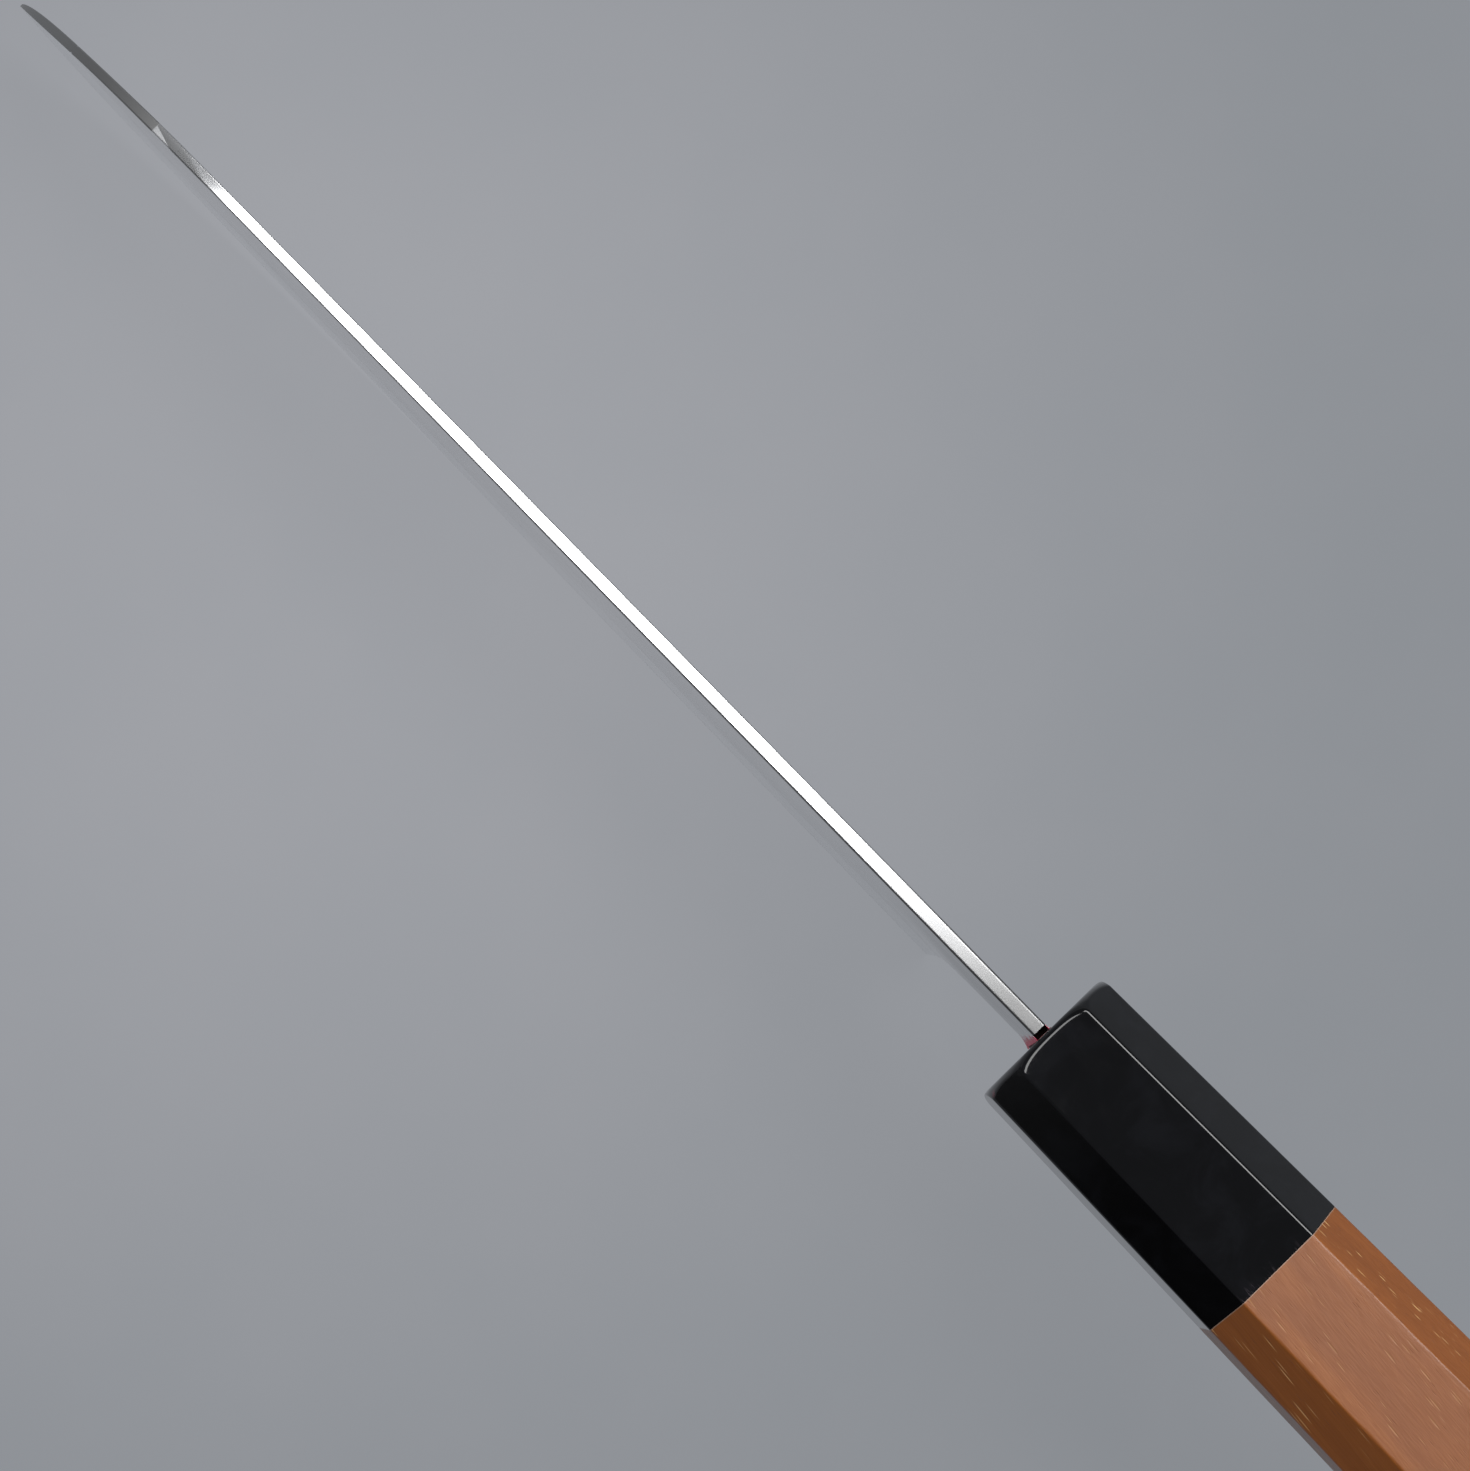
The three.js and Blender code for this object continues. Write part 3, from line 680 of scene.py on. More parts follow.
LAYER_LINES, LAYER_CLOUDS = 3600.0, 70.0
LAYER_KEEN, LAYER_DULL = 0.17, 0.28
LAYER_TONE, LAYER_PALE = (0.91, 0.912, 0.915, 1), (0.96, 0.961, 0.963, 1)
LAYER_LINE_TONE, WELD_TONE = (0.68, 0.68, 0.69, 1), (0.3, 0.3, 0.31, 1)
FLECK_REACH, WELD_REACH, WELD_DARK = 1.6, 0.3, 0.6  # above the weld line


def soft_steel_material():
    """Satin soft steel: lengthwise lines, dark flecks above the weld line, and a polished spine."""
    material, tree, shader = new_material("cladding_steel")
    lines = ground_lines(tree, LAYER_LINES, GRIND_STRETCH)
    tone = mixed(tree, cloudy(tree, LAYER_CLOUDS), LAYER_TONE, LAYER_PALE)
    tone = mixed(tree, times(tree, lines, GRIND_DARK), tone, LAYER_LINE_TONE)
    finish = blade_finished(tree, lines, LAYER_KEEN, LAYER_DULL)
    over_line = noted(tree, "over_line")
    near_line = fading(tree, over_line, 0.0, FLECK_REACH)
    flecks = mapped(tree, speckled(tree, own_place(tree), scale=1500.0), 0.6, 0.68)
    flecks = times(tree, flecks, near_line)
    weld = mapped(tree, over_line, 0.0, WELD_REACH, WELD_DARK, 0.0)
    dark = times(tree, worked(tree, "MAXIMUM", flecks, weld), finish["Faces"])
    finish_steel(tree, shader, mixed(tree, dark, tone, WELD_TONE), lines, finish)
    return material


soft_steel = soft_steel_material()
for side_name, side in (("left", 1), ("right", -1)):
    layer = finish_blade(side_name + "_soft_layer", *layer_rings(), side)
    layer.data.materials.append(soft_steel)
    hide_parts(side_name + "_cladding")


# Ferrule
# A block of black horn-like laminate in front of the grip, eight-sided like it, with a rounded front.
# It is bored for the dowel, slotted for the tang, glued to the grip and polished to a gloss.

HANDLE_LENGTH = 128.0
FERRULE_LENGTH = 38.4
FRONT_WIDTH, FRONT_HEIGHT = 19.4, 23.4
BUTT_WIDTH, BUTT_HEIGHT = 24.0, 27.6
CHAMFER_WIDE, CHAMFER_TALL = 4.35, 5.6
CHAMFER_GROWTH = 0.2
DOME_FLAT_RADIUS = 11.2
DOME_ROUND = 2.85
DOME_SQUEEZE = 0.8
FRONT_LEAN = 0.02
FRONT_WALL = 7.0
SLOT_HALF = 1.5
SLOT_TOP, SLOT_BOTTOM = 4.1, -6.7
SLOT_ORDER = 14  # how square its corners are
BORE_RADIUS = 6.9
BORE_AXIS = -1.3
SIDE_EASE, TOP_EASE = 0.18, 0.32  # reach of an eased arris along its facets, beside the sides and the top
ARRIS_EASE = np.array([SIDE_EASE, SIDE_EASE, TOP_EASE, TOP_EASE] * 2)
RIM_EASE, RIM_TOP_EASE = 0.22, 0.8  # the same around the front, at its sides and at its top and bottom
JOINT_EASE = 0.02  # the sharp arris at the joint of ferrule and grip
FACET_POINTS, ARRIS_POINTS = 17, 7
SIDE_RINGS, RIM_RINGS, FACE_RINGS = 41, 12, 20


def handle_section(behind, inset=0.0, ease=ARRIS_EASE):
    """Eight-sided section at distances behind the mouth, tapered, with growing corner facets.

    Each arris is a square curve between two points a short way along its facets. The array is (distance,
    point, 2).
    """
    behind = np.atleast_1d(behind)[:, None]
    share = behind / HANDLE_LENGTH
    half_width = between(FRONT_WIDTH, BUTT_WIDTH, share) / 2 - inset
    half_height = between(FRONT_HEIGHT, BUTT_HEIGHT, share) / 2 - inset
    growth = 1 + CHAMFER_GROWTH * share
    side_half = half_height - CHAMFER_TALL * growth
    top_half = half_width - CHAMFER_WIDE * growth
    across = np.concatenate([half_width, half_width, top_half, -top_half], 1)
    up = np.concatenate([-side_half, side_half, half_height, half_height], 1)
    corners = np.stack([across, up], -1)
    corners = np.concatenate([corners, -corners], 1)
    ahead = np.roll(corners, -1, 1) - corners
    ahead /= np.linalg.norm(ahead, axis=-1, keepdims=True)
    reach = np.broadcast_to(ease, across.shape[:1] + (8,))[..., None]
    start = corners - reach * np.roll(ahead, 1, 1)
    end = corners + reach * ahead
    turn = np.linspace(0, 1, ARRIS_POINTS)[:, None]
    bend = square_curve(start[:, :, None], corners[:, :, None], end[:, :, None], turn)
    step = (np.arange(1, FACET_POINTS + 1) / (FACET_POINTS + 1))[:, None]
    facet = between(end[:, :, None], np.roll(start, -1, 1)[:, :, None], step)
    return np.concatenate([bend, facet], 2).reshape(len(behind), -1, 2)


def dome_drop(section):
    """How far the front falls back: a slight lean, and a quarter round outside the flat middle."""
    radius = np.hypot(section[..., 0] / DOME_SQUEEZE, section[..., 1])
    outside = np.clip(radius - DOME_FLAT_RADIUS, 0, DOME_ROUND)
    lean = FRONT_LEAN * (FRONT_HEIGHT / 2 - section[..., 1])
    return lean + DOME_ROUND - np.sqrt(DOME_ROUND**2 - outside**2)


def handle_points(along, section):
    """Points in the frame from places along the handle's axis and sections across it."""
    ahead, level = from_handle(along, section[..., 1])
    return np.stack(np.broadcast_arrays(HEEL_X + ahead, section[..., 0], level), -1)


def section_angles(section):
    """Angle of each point of a section about the tang's middle."""
    return np.arctan2(section[..., 1] - BORE_AXIS, section[..., 0])


def slot_section(angle):
    """Slot for the tang as a square-cornered oval, the power curve of a high order."""
    across = np.sign(np.cos(angle)) * np.abs(np.cos(angle)) ** (2 / SLOT_ORDER)
    up = np.sign(np.sin(angle)) * np.abs(np.sin(angle)) ** (2 / SLOT_ORDER)
    level = (SLOT_TOP + SLOT_BOTTOM) / 2 + (SLOT_TOP - SLOT_BOTTOM) / 2 * up
    return np.stack([SLOT_HALF * across, level], -1)


def bore_section(angle):
    """Round bore for the dowel."""
    return np.stack([BORE_RADIUS * np.cos(angle), BORE_AXIS + BORE_RADIUS * np.sin(angle)], -1)


def ferrule_rings():
    """Rings of the ferrule: forward over its facets, round the rim, over the dome, into slot and bore."""
    rear_edge = handle_points(-FERRULE_LENGTH, handle_section(FERRULE_LENGTH, JOINT_EASE))
    front = handle_section(0.0)
    drop = dome_drop(front)
    share = np.linspace(0, 1, SIDE_RINGS)[:, None]
    top = FRONT_HEIGHT / 2
    ease = between(RIM_EASE, RIM_TOP_EASE, soft_step(np.abs(front[..., 1]), top - CHAMFER_TALL / 4, top))
    along = between(-FERRULE_LENGTH + JOINT_EASE, -drop - ease, share)
    sides = handle_points(along, between(handle_section(FERRULE_LENGTH), front, share[:, :, None]))
    radius = np.linalg.norm(front, axis=-1, keepdims=True)
    inside = front * (1 - ease[..., None] / radius)
    turn = np.linspace(0, 1, RIM_RINGS)[1:, None, None]
    before = np.concatenate([(-drop - ease)[..., None], front], -1)
    corner = np.concatenate([-drop[..., None], front], -1)
    after = np.concatenate([-dome_drop(inside)[..., None], inside], -1)
    rim = square_curve(before, corner, after, turn)
    rim = handle_points(rim[..., 0], rim[..., 1:])
    slot = slot_section(section_angles(front))
    face = between(inside, slot, np.linspace(0, 1, FACE_RINGS)[1:, None, None])
    face = handle_points(-dome_drop(face), face)
    slot_deep = handle_points(-FRONT_WALL, slot)
    bore = bore_section(section_angles(front))
    bore_front = handle_points(-FRONT_WALL, bore)
    bore_rear = handle_points(-FERRULE_LENGTH, bore)
    return np.concatenate([rear_edge, sides, rim, face, slot_deep, bore_front, bore_rear])


HANDLE_WAY = (math.cos(PITCH), 0, -math.sin(PITCH))
MOUTH_PLACE = (HEEL_X - NECK_LENGTH) * math.cos(PITCH) - AXIS_LEVEL * math.sin(PITCH)
JOINT_PLACE = (MOUTH_PLACE - FERRULE_LENGTH) * MM
SCUFF_REACH, SCUFF_STRETCH = 0.0016, (0.12, 1.0, 1.0)
SCUFF_TILTED, SCUFF_LEVEL = 0.85, 0.95  # scuffs lie only where the surface faces up
MOUTH_TOP = handle_points(-0.15, np.array([0.0, SLOT_TOP])) * MM
# Painted shade of the gap behind the neck's end, tinted red-brown like resin, around the top of the mouth; it
# is rougher there too.
GAP_SHADE_INSIDE, GAP_SHADE_OUTSIDE, GAP_SHADE_ROUGH = 0.0012, 0.002, 0.45
RED_TOUCH = handle_points(-0.7, np.array([9.3, 6.4])) * MM
RED_INSIDE, RED_OUTSIDE = 0.0003, 0.0007
FERRULE_TONE, FERRULE_PALE = (0.0022, 0.0022, 0.0026, 1), (0.0048, 0.005, 0.0062, 1)
DUST_TONE, SCUFF_TONE = grey(0.3), (0.055, 0.046, 0.054, 1)
RED_TONE, GAP_SHADE_TONE = (0.24, 0.05, 0.08, 1), (0.06, 0.014, 0.017, 1)
GLOSS_KEEN, GLOSS_DULL = 0.05, 0.1
RUB_LINES, RUB_STRETCH = 1800.0, (0.05, 1.0, 1.0)


def ferrule_material():
    """Polished black laminate: near-black, with faint smudges, rubbing marks, scuffs, dust, a small red spot,
    and a dark red-brown rough patch at the top of the mouth, partly resin tint and partly painted shade of
    the gap behind the neck.
    """
    material, tree, shader = new_material("black_ferrule")
    place = own_place(tree)
    cloud = speckled(tree, place, scale=160.0, detail=4.0, roughness=0.6, distortion=0.6)
    cloud = mapped(tree, cloud, 0.42, 0.7)
    tone = mixed(tree, cloud, FERRULE_TONE, FERRULE_PALE)
    cells = add_node(tree, "ShaderNodeTexVoronoi", {"Vector": place, "Scale": 900.0})
    dust = fading(tree, cells.outputs["Distance"], 0.06, 0.1)
    rare = mapped(tree, speckled(tree, place, scale=230.0, detail=1.0), 0.72, 0.76)
    tone = mixed(tree, times(tree, dust, rare), tone, DUST_TONE)
    scuffs = mapped(tree, speckled(tree, drawn_out(tree, place, SCUFF_STRETCH), scale=5200.0), 0.5, 0.72)
    patchy = mapped(tree, speckled(tree, place, scale=320.0), 0.4, 0.6)
    along = measured(tree, "DOT_PRODUCT", place, HANDLE_WAY)
    by_joint = fading(tree, along, JOINT_PLACE, JOINT_PLACE + SCUFF_REACH)
    on_top = mapped(tree, own_facing(tree)["Z"], SCUFF_TILTED, SCUFF_LEVEL)
    tone = mixed(tree, times(tree, scuffs, patchy, by_joint, on_top), tone, SCUFF_TONE)
    red = fading(tree, measured(tree, "DISTANCE", place, RED_TOUCH), RED_INSIDE, RED_OUTSIDE)
    red = times(tree, red, mapped(tree, cloud, 0, 1, 0.4, 1))
    tone = mixed(tree, red, tone, RED_TONE)
    # Painted shade of the gap at the mouth, tinted like resin.
    from_mouth = measured(tree, "DISTANCE", place, MOUTH_TOP)
    gap_shade = fading(tree, from_mouth, GAP_SHADE_INSIDE, GAP_SHADE_OUTSIDE)
    smudges = speckled(tree, place, scale=110.0, detail=5.0, roughness=0.65, distortion=1.2)
    gloss = mapped(tree, smudges, 0.4, 0.75, GLOSS_KEEN, GLOSS_DULL)
    dress(tree, shader, {
        "Base Color": mixed(tree, gap_shade, tone, GAP_SHADE_TONE),
        "Roughness": worked(tree, "ADD", gloss, times(tree, gap_shade, GAP_SHADE_ROUGH)),
        "Normal": relief(tree, ground_lines(tree, RUB_LINES, RUB_STRETCH), strength=0.02, depth=0.00001),
    })
    return material


ferrule = make_piece("black_ferrule", ferrule_rings(), closed=True, sharp=28)
ferrule.data.materials.append(ferrule_material())
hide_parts("ferrule")
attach(ferrule, "root")


# Seal at the mouth
# A thin bead of red-tinted resin, squeezed up beside and under the end of the neck when the tang was bedded,
# so that no water runs in along the tang.

SEAL_REACH = 2.3
SEAL_WALL = 0.58
SEAL_TOP = 5.6
SEAL_LIFT = 0.06  # clear of the ferrule's front
SEAL_CLEAR = 0.01  # clear of the neck
SEAL_SKIN, SEAL_TUCK = 0.012, -0.02  # its least thickness, and how its front is tucked into the steel
SEAL_SUNK = 0.03  # how deep its inner side lies in the steel
SEAL_POWER, SEAL_RIPPLE, SEAL_RIPPLES, SEAL_RIPPLE_START = 0.9, 0.14, 19, 0.6  # its swell along the U
SEAL_LEAST = 0.45  # its reach at the ends of the U, as a share
SEAL_STEPS, SEAL_TURNS = 40, 9


def collar_path(half, bottom, top, steps):
    """Path down one side, round under the middle and up the other: a long U with a half-round end.

    Returns places across and up, and the directions that point away from the middle.
    """
    straight = np.linspace(top, bottom + half, steps)
    turn = np.linspace(0, math.pi, steps)[1:-1]
    across = np.concatenate([np.full(steps, half), half * np.cos(turn), np.full(steps, -half)])
    up = np.concatenate([straight, bottom + half - half * np.sin(turn), straight[::-1]])
    out = np.concatenate([np.full(steps, 1.0), np.cos(turn), np.full(steps, -1.0)])
    down = np.concatenate([np.zeros(steps), -np.sin(turn), np.zeros(steps)])
    return np.stack([across, up], -1), np.stack([out, down], -1)


def seal_rings():
    """Rings of the bead: a hollow-sided fillet between ferrule and neck, carried along the U.

    It swells by a half wave along the U, with a small ripple, so that it is thin at both ends.
    """
    bottom = SPINE_ABOVE_AXIS - NECK_HEIGHT - SEAL_CLEAR
    path, out = collar_path(SPINE_HALF + SEAL_CLEAR, bottom, SEAL_TOP, SEAL_STEPS)
    share = np.linspace(0, 1, len(path))[:, None]
    ripple = SEAL_RIPPLE * np.sin(SEAL_RIPPLES * share + SEAL_RIPPLE_START)
    swell = np.sin(math.pi * share) ** SEAL_POWER * (1 - SEAL_RIPPLE + ripple)
    turn = np.linspace(0, 1, SEAL_TURNS)[None, :]
    front = -FRONT_LEAN * (FRONT_HEIGHT / 2 - path[:, 1:])
    away = between(front + SEAL_LIFT, SEAL_REACH * between(SEAL_LEAST, 1, swell), turn)
    thick = SEAL_WALL * swell * (1 - turn) ** 2 + between(SEAL_SKIN, SEAL_TUCK, turn)
    outer = path[:, None] + out[:, None] * thick[..., None]
    inner = path[:, None] + 0 * outer
    along = np.concatenate([away, away[:, ::-1]], 1)
    section = np.concatenate([outer, inner[:, ::-1] - SEAL_SUNK * out[:, None]], 1)
    thin = np.concatenate([turn, turn[:, ::-1]], 1) + 0 * along
    return handle_points(along, section), thin


RESIN_TONE, RESIN_PALE, BARE_TONE = (0.8, 0.03, 0.1, 1), (0.98, 0.09, 0.2, 1), (0.5, 0.49, 0.5, 1)
RESIN_ROUGH, BARE_ROUGH = 0.4, 0.16
RESIN_METAL = 0.35  # the steel behind the resin shines through it
STREAK = 0.15


def seal_material():
    """Red-tinted resin, uneven in depth of colour, that thins out to the steel behind it."""
    material, tree, shader = new_material("seal_resin")
    depth = cloudy(tree, scale=1400.0)
    tone = mixed(tree, depth, RESIN_TONE, RESIN_PALE)
    streak = mapped(tree, depth, 0, 1, -STREAK, STREAK)
    bare = mapped(tree, worked(tree, "ADD", noted(tree, "thin"), streak), 0.25, 0.85)
    shader.inputs["Specular IOR Level"].default_value = 0.15
    dress(tree, shader, {
        "Base Color": mixed(tree, bare, tone, BARE_TONE),
        "Metallic": mapped(tree, bare, 0, 1, RESIN_METAL, 1.0),
        "Roughness": mapped(tree, bare, 0, 1, RESIN_ROUGH, BARE_ROUGH),
        "Normal": relief(tree, depth, strength=0.2, depth=0.00005),
    })
    return material


seal_shape, seal_thinness = seal_rings()
seal = make_piece("red_seal", seal_shape)
note_points(seal, "thin", seal_thinness)
seal.data.materials.append(seal_material())
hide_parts("mouth_seal")
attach(seal, "root")


# Grip
# One piece of open-pored red-brown hardwood, planed to the same tapered eight-sided section as the ferrule,
# sanded, thinly oiled and eased around its butt. It is glued over the dowel.

FIT_GAP = 0.02
BORE_END = 91.1
BUTT_EASE = 1.0
GRIP_EASE = 0.26
WEAR_WAVES = ((0.18, 2.1, 2.1), (0.14, 0.8, 4.7))  # share, length, and how far arrises are out of step
GRIP_RINGS, BUTT_TURNS, BUTT_RINGS = 140, 10, 12
BUTT_MIDDLE = 0.05  # the butt's face closes in to this share of its edge


def worn_arris(behind):
    """Reach of the eased arrises along the grip: two slow waves about a middle, each arris out of step."""
    arris = np.arange(8)
    place = np.atleast_1d(behind)[:, None]
    waves = sum(share * np.sin(place / length + step * arris) for share, length, step in WEAR_WAVES)
    return GRIP_EASE * (1 + waves)


def grip_rings():
    """Rings of the grip: out of the bore, over the front face, along the facets and round the eased butt."""
    front = -FERRULE_LENGTH - FIT_GAP
    edge = handle_section(-front, JOINT_EASE, worn_arris(-front))
    angle = section_angles(edge)
    bore = bore_section(angle)
    bore_deep = handle_points(-BORE_END, bore)
    bore_front = handle_points(front, bore)
    rim = handle_points(front, edge)
    behind = np.linspace(JOINT_EASE - front, HANDLE_LENGTH - BUTT_EASE, GRIP_RINGS)
    sides = handle_points(-behind[:, None], handle_section(behind, 0.0, worn_arris(behind)))
    turn = np.linspace(0, math.pi / 2, BUTT_TURNS)[1:, None]
    drawn_in = BUTT_EASE * (1 - np.cos(turn))
    back = np.full_like(turn[:, 0], HANDLE_LENGTH)
    round_edge = handle_section(back, drawn_in, worn_arris(back))
    butt = handle_points(BUTT_EASE * (1 - np.sin(turn)) - HANDLE_LENGTH, round_edge)
    closing = np.linspace(1, BUTT_MIDDLE, BUTT_RINGS)[1:, None, None]
    face = handle_points(-HANDLE_LENGTH, round_edge[-1:] * closing)
    return np.concatenate([bore_deep, bore_front, rim, sides, butt, face])


GRAIN_SWING, GRAIN_DIP = math.radians(5.0), math.radians(4.0)  # the grain runs off to the left and down


def grain_group():
    """Straight-grained wood a little askew to the handle: broad bands, fine fibres and short open pores.

    All are patterns drawn out along the grain. The pores, those that are painted as glints and the dark
    ones, are the middles of some of many stretched cells.
    """
    group = bpy.data.node_groups.new("straight_grain", "ShaderNodeTree")
    group.interface.new_socket("Fineness", in_out="INPUT", socket_type="NodeSocketFloat")
    for name in ("Bands", "Fibres", "Glinting pores", "Dark pores"):
        group.interface.new_socket(name, in_out="OUTPUT", socket_type="NodeSocketFloat")
    given = add_node(group, "NodeGroupInput").outputs["Fineness"]
    sockets = {"Vector": own_place(group), "Rotation": (0, GRAIN_DIP - PITCH, GRAIN_SWING)}
    turned = add_node(group, "ShaderNodeMapping", sockets).outputs[0]

    def figure(along, scale, **kind):
        """Noise drawn out along the grain."""
        drawn = drawn_out(group, turned, (along, 1.0, 1.0))
        return speckled(group, drawn, times(group, given, scale), **kind)

    def pores(along, shift, scale, size, share):
        """Middles of the given share of cells drawn out along the grain."""
        drawn = drawn_out(group, turned, (along, 1.0, 1.0), (shift, shift, shift))
        sockets = {"Vector": drawn, "Scale": times(group, given, scale)}
        cells = add_node(group, "ShaderNodeTexVoronoi", sockets)
        chance = add_node(group, "ShaderNodeSeparateColor", {0: cells.outputs["Color"]}).outputs[0]
        middle = fading(group, cells.outputs["Distance"], 0.4 * size, size)
        return times(group, middle, mapped(group, chance, 1 - share, 1.1 - share))

    bands = figure(along=0.06, scale=260.0, detail=3.0, roughness=0.55, distortion=0.3)
    fibres = figure(along=0.04, scale=4600.0, detail=3.0, roughness=0.6)
    gathered = mapped(group, figure(along=0.12, scale=330.0), 0.4, 0.56)
    short_glinting = pores(along=0.065, shift=0.3, scale=1500.0, size=0.21, share=0.9)
    long_glinting = pores(along=0.05, shift=0.7, scale=2000.0, size=0.2, share=0.9)
    add_node(group, "NodeGroupOutput", {
        "Bands": mapped(group, bands, 0.3, 0.7),
        "Fibres": mapped(group, fibres, 0.3, 0.7),
        "Glinting pores": times(group, worked(group, "MAXIMUM", short_glinting, long_glinting), gathered),
        "Dark pores": pores(along=0.08, shift=0.5, scale=3000.0, size=0.2, share=0.5),
    })
    return group


straight_grain = grain_group()


def grain(tree, fineness):
    """The straight grain in a material."""
    return add_node(tree, "ShaderNodeGroup", {"Fineness": fineness}, node_tree=straight_grain).outputs


FIBRE_DARK = 0.3
WOOD_TONE, WOOD_PALE, FIBRE_TONE = (0.27, 0.076, 0.008, 1), (0.34, 0.101, 0.013, 1), (0.19, 0.05, 0.007, 1)
# The dark pore tone is the wood's own; the pale pore tone is a painted glint, brighter than the wood itself.
DARK_PORE_TONE, PORE_GLINT_TONE = (0.14, 0.035, 0.007, 1), (0.75, 0.43, 0.17, 1)
TOP_FACING, SIDE_FACING = 0.2, 0.6  # the pores' painted glints, and the dark pores' painted shade, show more on facets turned this far to the side
TOP_GLINT, TOP_DARK, SIDE_DARK = 0.18, 0.3, 0.6
# A thin pale line on the grip just behind the joint with the ferrule.
PALE_LINE_BACK, PALE_LINE_FRONT = JOINT_PLACE - 0.00016, JOINT_PLACE - 0.00008
PALE_LINE_SHARE, PALE_LINE_TONE = 0.6, (0.5, 0.38, 0.3, 1)


def grip_material():
    """Red-brown hardwood: warm bands, dark fibres, open pores with painted glints and painted shade, a satin
    oil finish.
    """
    material, tree, shader = new_material("handle_wood")
    figure = grain(tree, 1.0)
    fibres = times(tree, figure["Fibres"], FIBRE_DARK)
    tone = mixed(tree, figure["Bands"], WOOD_TONE, WOOD_PALE)
    tone = mixed(tree, fibres, tone, FIBRE_TONE)
    sideways = add_node(tree, "ShaderNodeMath", {0: own_facing(tree)["Y"]}, operation="ABSOLUTE").outputs[0]
    # Dark pores are real; their extra depth on the side facets is painted shade.
    dark_share = mapped(tree, sideways, TOP_FACING, SIDE_FACING, TOP_DARK, SIDE_DARK)
    tone = mixed(tree, times(tree, figure["Dark pores"], dark_share), tone, DARK_PORE_TONE)
    # Painted glints of light off the pores' walls, strongest on the side facets.
    glint_share = mapped(tree, sideways, TOP_FACING, SIDE_FACING, TOP_GLINT, 1.0)
    tone = mixed(tree, times(tree, figure["Glinting pores"], glint_share), tone, PORE_GLINT_TONE)
    along = measured(tree, "DOT_PRODUCT", own_place(tree), HANDLE_WAY)
    pale_line = mapped(tree, along, PALE_LINE_BACK, PALE_LINE_FRONT, 0.0, PALE_LINE_SHARE)
    hollows = worked(tree, "ADD", figure["Glinting pores"], figure["Dark pores"], fibres)
    shader.inputs["Coat Weight"].default_value = 0.4
    shader.inputs["Coat Roughness"].default_value = 0.25
    dress(tree, shader, {
        "Base Color": mixed(tree, pale_line, tone, PALE_LINE_TONE),
        "Roughness": mapped(tree, figure["Fibres"], 0, 1, 0.42, 0.54),
        "Normal": relief(tree, times(tree, hollows, -1.0), strength=0.35, depth=0.00008),
    })
    return material


grip = make_piece("wood_grip", grip_rings(), sharp=28)
grip.data.materials.append(grip_material())
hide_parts("handle_body")
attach(grip, "root")


# Dowel and bedding
# Inside the handle a slotted dowel of pale wood joins grip and ferrule, and cured resin beds the tang in its
# slot. The dowel is hidden, and the resin shows only as a line in the mouth.

DOWEL_TONE, DOWEL_PALE, DOWEL_FIBRE = (0.52, 0.34, 0.16, 1), (0.64, 0.44, 0.22, 1), (0.4, 0.25, 0.11, 1)
BEDDING_TONE, BEDDING_PALE = (0.1, 0.014, 0.018, 1), (0.16, 0.022, 0.028, 1)


def dowel_material():
    """Pale plain wood with a fine straight grain."""
    material, tree, shader = new_material("dowel_wood")
    figure = grain(tree, 0.8)
    tone = mixed(tree, figure["Bands"], DOWEL_TONE, DOWEL_PALE)
    fibres = times(tree, figure["Fibres"], FIBRE_DARK)
    dress(tree, shader, {
        "Base Color": mixed(tree, fibres, tone, DOWEL_FIBRE),
        "Roughness": mapped(tree, figure["Fibres"], 0, 1, 0.6, 0.75),
        "Normal": relief(tree, figure["Fibres"], strength=0.2, depth=0.0001),
    })
    return material


def bedding_material():
    """Cured red-tinted resin with a slight clouding."""
    material, tree, shader = new_material("bedding_resin")
    cloud = cloudy(tree, scale=400.0)
    shader.inputs["Specular IOR Level"].default_value = 0.2
    dress(tree, shader, {
        "Base Color": mixed(tree, cloud, BEDDING_TONE, BEDDING_PALE),
        "Roughness": mapped(tree, cloud, 0, 1, 0.5, 0.65),
    })
    return material


for node_name, finish in (("tang_dowel", dowel_material()), ("tang_epoxy", bedding_material())):
    hidden_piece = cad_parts[node_name]
    hidden_piece.data.materials.clear()
    hidden_piece.data.materials.append(finish)


# Table
# A plain pale grey board under the knife, matt, with a faint cloudiness and a broad painted pool of light
# near the tip.

TABLE_HALF = 6.0
LIGHT_POOL_AT = (0.09, 0.02, 0.0)
POOL_NEAR, POOL_FAR = 0.02, 0.17  # how far from there the painted light stays brightest, and where it is dimmest
POOL_TONE, POOL_CLOUD = (0.341, 0.352, 0.379, 1), (0.349, 0.358, 0.384, 1)
DIMMER_TONE, DIMMER_CLOUD = (0.26, 0.275, 0.298, 1), (0.268, 0.281, 0.304, 1)
EVEN_SHARE = 0.93  # the rest of the table's tone takes the light and the knife's shadow


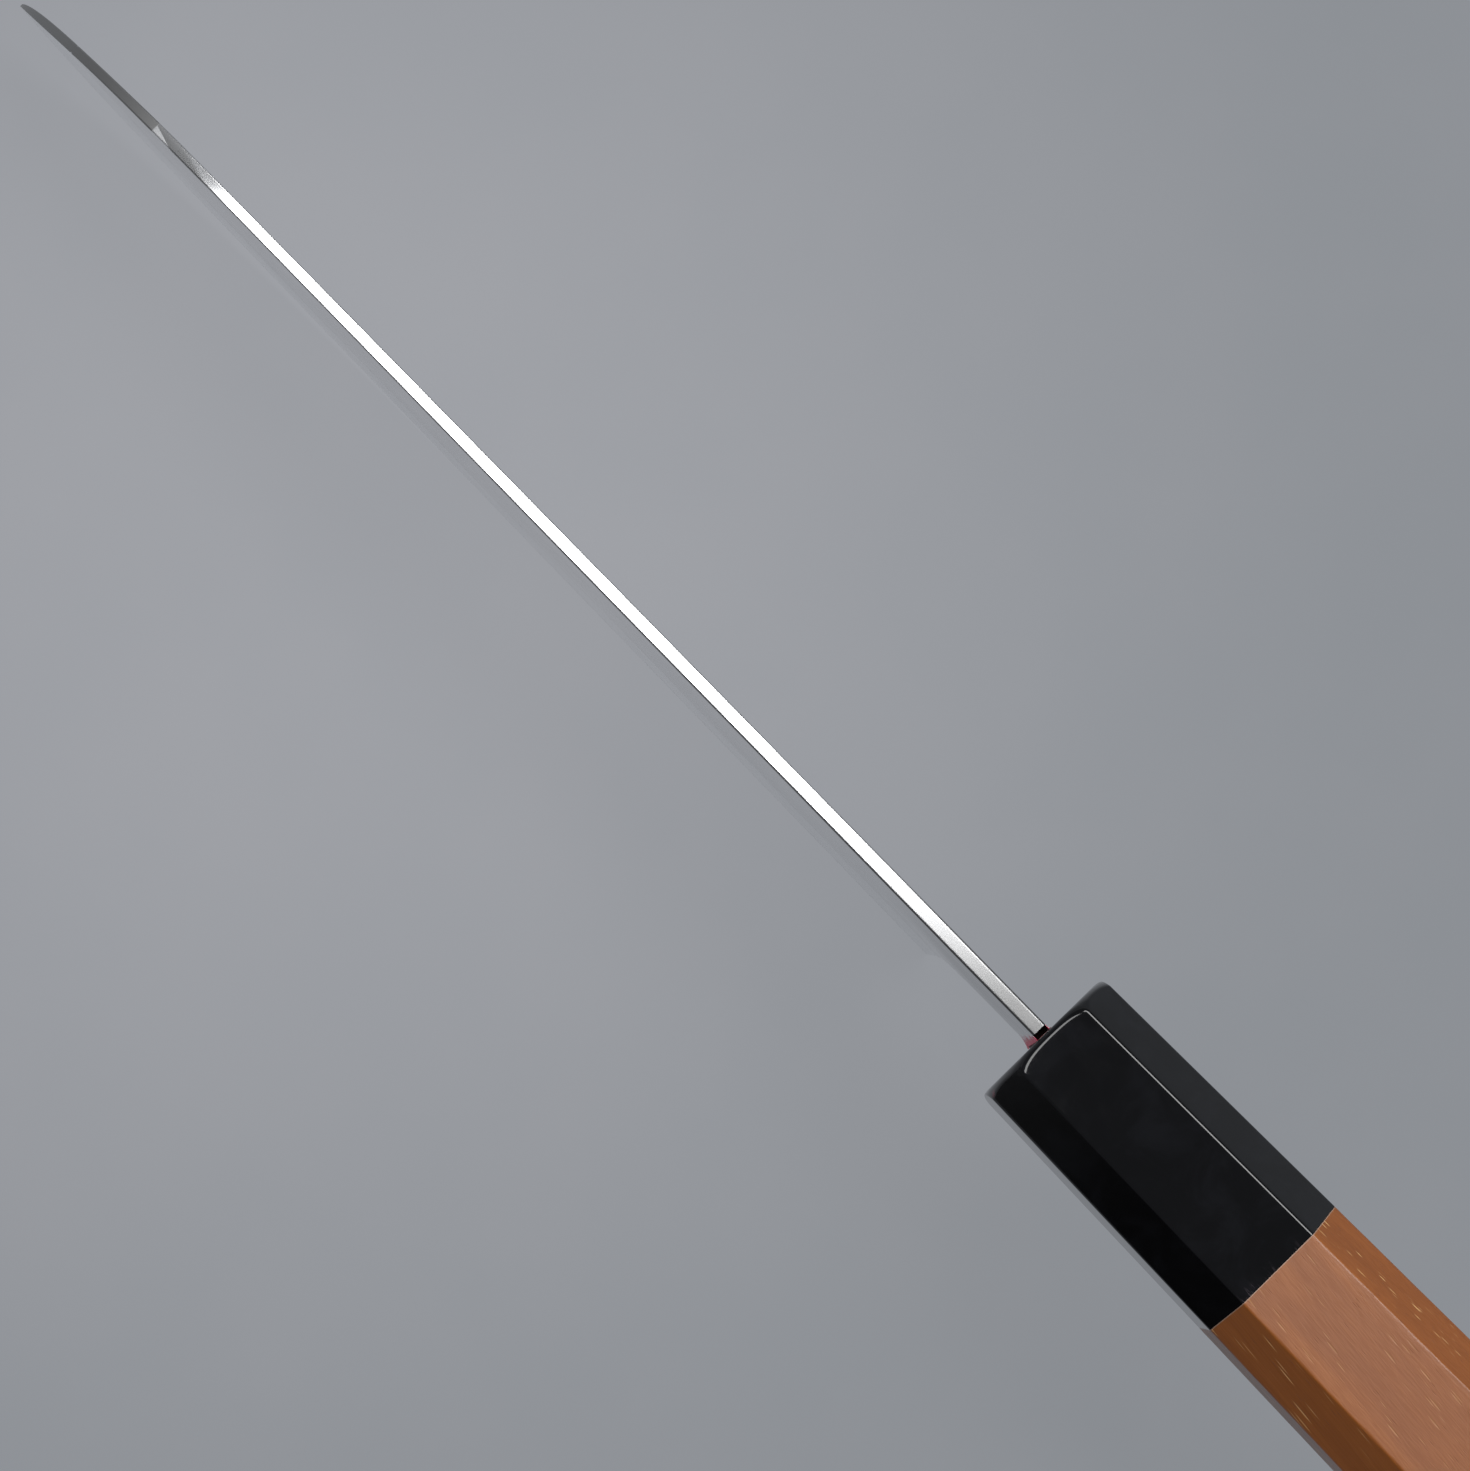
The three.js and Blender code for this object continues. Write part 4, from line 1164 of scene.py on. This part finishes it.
def table_material():
    """Matt grey board with faint broad clouds and a painted pool of light near the tip, shown mostly at its
    own even level.
    """
    material, tree, shader = new_material("grey_table")
    place = own_place(tree)
    cloud = mapped(tree, speckled(tree, place, scale=30.0, detail=4.0, roughness=0.55), 0.3, 0.7)
    pooled = mixed(tree, cloud, POOL_TONE, POOL_CLOUD)
    dull = mixed(tree, cloud, DIMMER_TONE, DIMMER_CLOUD)
    away = measured(tree, "DISTANCE", place, LIGHT_POOL_AT)
    # Painted light: brightest near the tip, dimmer farther off.
    tone = mixed(tree, mapped(tree, away, POOL_NEAR, POOL_FAR), pooled, dull)
    dress(tree, shader, {"Base Color": tone})
    shader.inputs["Roughness"].default_value = 0.6
    path = add_node(tree, "ShaderNodeLightPath").outputs
    rays = [path["Is " + kind + " Ray"] for kind in ("Camera", "Glossy", "Transmission")]
    even = add_node(tree, "ShaderNodeEmission", {"Color": tone})
    share = times(tree, worked(tree, "MAXIMUM", *rays), EVEN_SHARE)
    blend = add_node(tree, "ShaderNodeMixShader", {0: share, 1: shader.outputs[0], 2: even.outputs[0]})
    surface = shader.outputs[0].links[0].to_node.inputs["Surface"]
    tree.links.new(blend.outputs[0], surface)
    return material


def flat_sheet(name, corners, material):
    """A flat sheet of one material between four corners."""
    mesh = bpy.data.meshes.new(name)
    mesh.from_pydata(corners, [], [(0, 1, 2, 3)])
    mesh.materials.append(material)
    sheet = bpy.data.objects.new(name, mesh)
    bpy.context.scene.collection.objects.link(sheet)
    return sheet


table_corners = [(TABLE_HALF * x, TABLE_HALF * y, 0) for x, y in ((-1, -1), (1, -1), (1, 1), (-1, 1))]
table = flat_sheet("table", table_corners, table_material())


# Light
# Two oval softboxes, one over the blade and one over the right, a dim room, and a dark card at the left.


def hang_softbox(name, place, long, deep, radiance):
    """Oval softbox facing down: its power is the radiance times pi times its area."""
    lamp = bpy.data.lights.new(name, "AREA")
    lamp.shape = "ELLIPSE"
    lamp.size = long
    lamp.size_y = deep
    lamp.energy = radiance * math.pi * math.pi * long * deep / 4
    softbox = bpy.data.objects.new(name, lamp)
    softbox.location = place
    bpy.context.scene.collection.objects.link(softbox)


hang_softbox("front_softbox", place=(0.28, 0.07, 1.0), long=0.38, deep=0.5, radiance=5.6)
hang_softbox("side_softbox", place=(0.05, -0.5, 1.0), long=1.0, deep=0.46, radiance=8.5)

CARD_AT = 0.21
CARD_REAR, CARD_FRONT, CARD_TALL = -0.4, 0.4, 0.14
CARD_DARK, CARD_GREY = grey(0.03), grey(0.24)
CARD_DARK_END, CARD_GREY_START = -0.06, 0.0  # it is darkest beside the handle


def card_material():
    """Matt card, dark toward the butt and grey toward the tip."""
    material, tree, shader = new_material("dark_card")
    along = add_node(tree, "ShaderNodeSeparateXYZ", {0: own_place(tree)}).outputs["X"]
    paler = mapped(tree, along, CARD_DARK_END, CARD_GREY_START)
    dress(tree, shader, {"Base Color": mixed(tree, paler, CARD_DARK, CARD_GREY)})
    shader.inputs["Roughness"].default_value = 0.9
    shader.inputs["Specular IOR Level"].default_value = 0.0
    return material


card_places = ((CARD_REAR, 0), (CARD_FRONT, 0), (CARD_FRONT, CARD_TALL), (CARD_REAR, CARD_TALL))
card = flat_sheet("dark_card", [(along, CARD_AT, up) for along, up in card_places], card_material())
card.visible_camera = False
card.visible_shadow = False

ROOM_SIDE, ROOM_OVERHEAD = (0.33, 0.34, 0.36, 1), (0.125, 0.13, 0.142, 1)
ROOM_LOW, ROOM_HIGH = 0.1, 0.3  # the room darkens between these upward parts of the direction
world = bpy.data.worlds.new("dim_room")
world.use_nodes = True
room = world.node_tree
room.nodes.clear()
direction = add_node(room, "ShaderNodeTexCoord").outputs["Generated"]
upward = add_node(room, "ShaderNodeSeparateXYZ", {0: direction}).outputs["Z"]
room_tone = mixed(room, mapped(room, upward, ROOM_LOW, ROOM_HIGH), ROOM_SIDE, ROOM_OVERHEAD)
background = add_node(room, "ShaderNodeBackground", {"Color": room_tone})
add_node(room, "ShaderNodeOutputWorld", {"Surface": background.outputs[0]})
bpy.context.scene.world = world


# Camera
# Straight above the knife, leaning a little, with the knife's tip at the picture's upper left.

PICTURE_WIDTH = 1470  # pixels
FOCAL_PIXELS = 4774.4
SENSOR_WIDTH = 36.0
CAMERA_AT = (0.030884, 0.042861, 0.609611)
CAMERA_TURN = (2.5665, -3.3404, -134.1049)  # degrees
camera_data = bpy.data.cameras.new("camera")
camera_data.sensor_fit = "HORIZONTAL"
camera_data.sensor_width = SENSOR_WIDTH
camera_data.lens = FOCAL_PIXELS / PICTURE_WIDTH * SENSOR_WIDTH
camera_data.clip_start = 0.01
camera = bpy.data.objects.new("camera", camera_data)
camera.location = CAMERA_AT
camera.rotation_euler = Euler([math.radians(angle) for angle in CAMERA_TURN])
bpy.context.scene.collection.objects.link(camera)
bpy.context.scene.camera = camera
bpy.context.scene.view_settings.view_transform = "Standard"
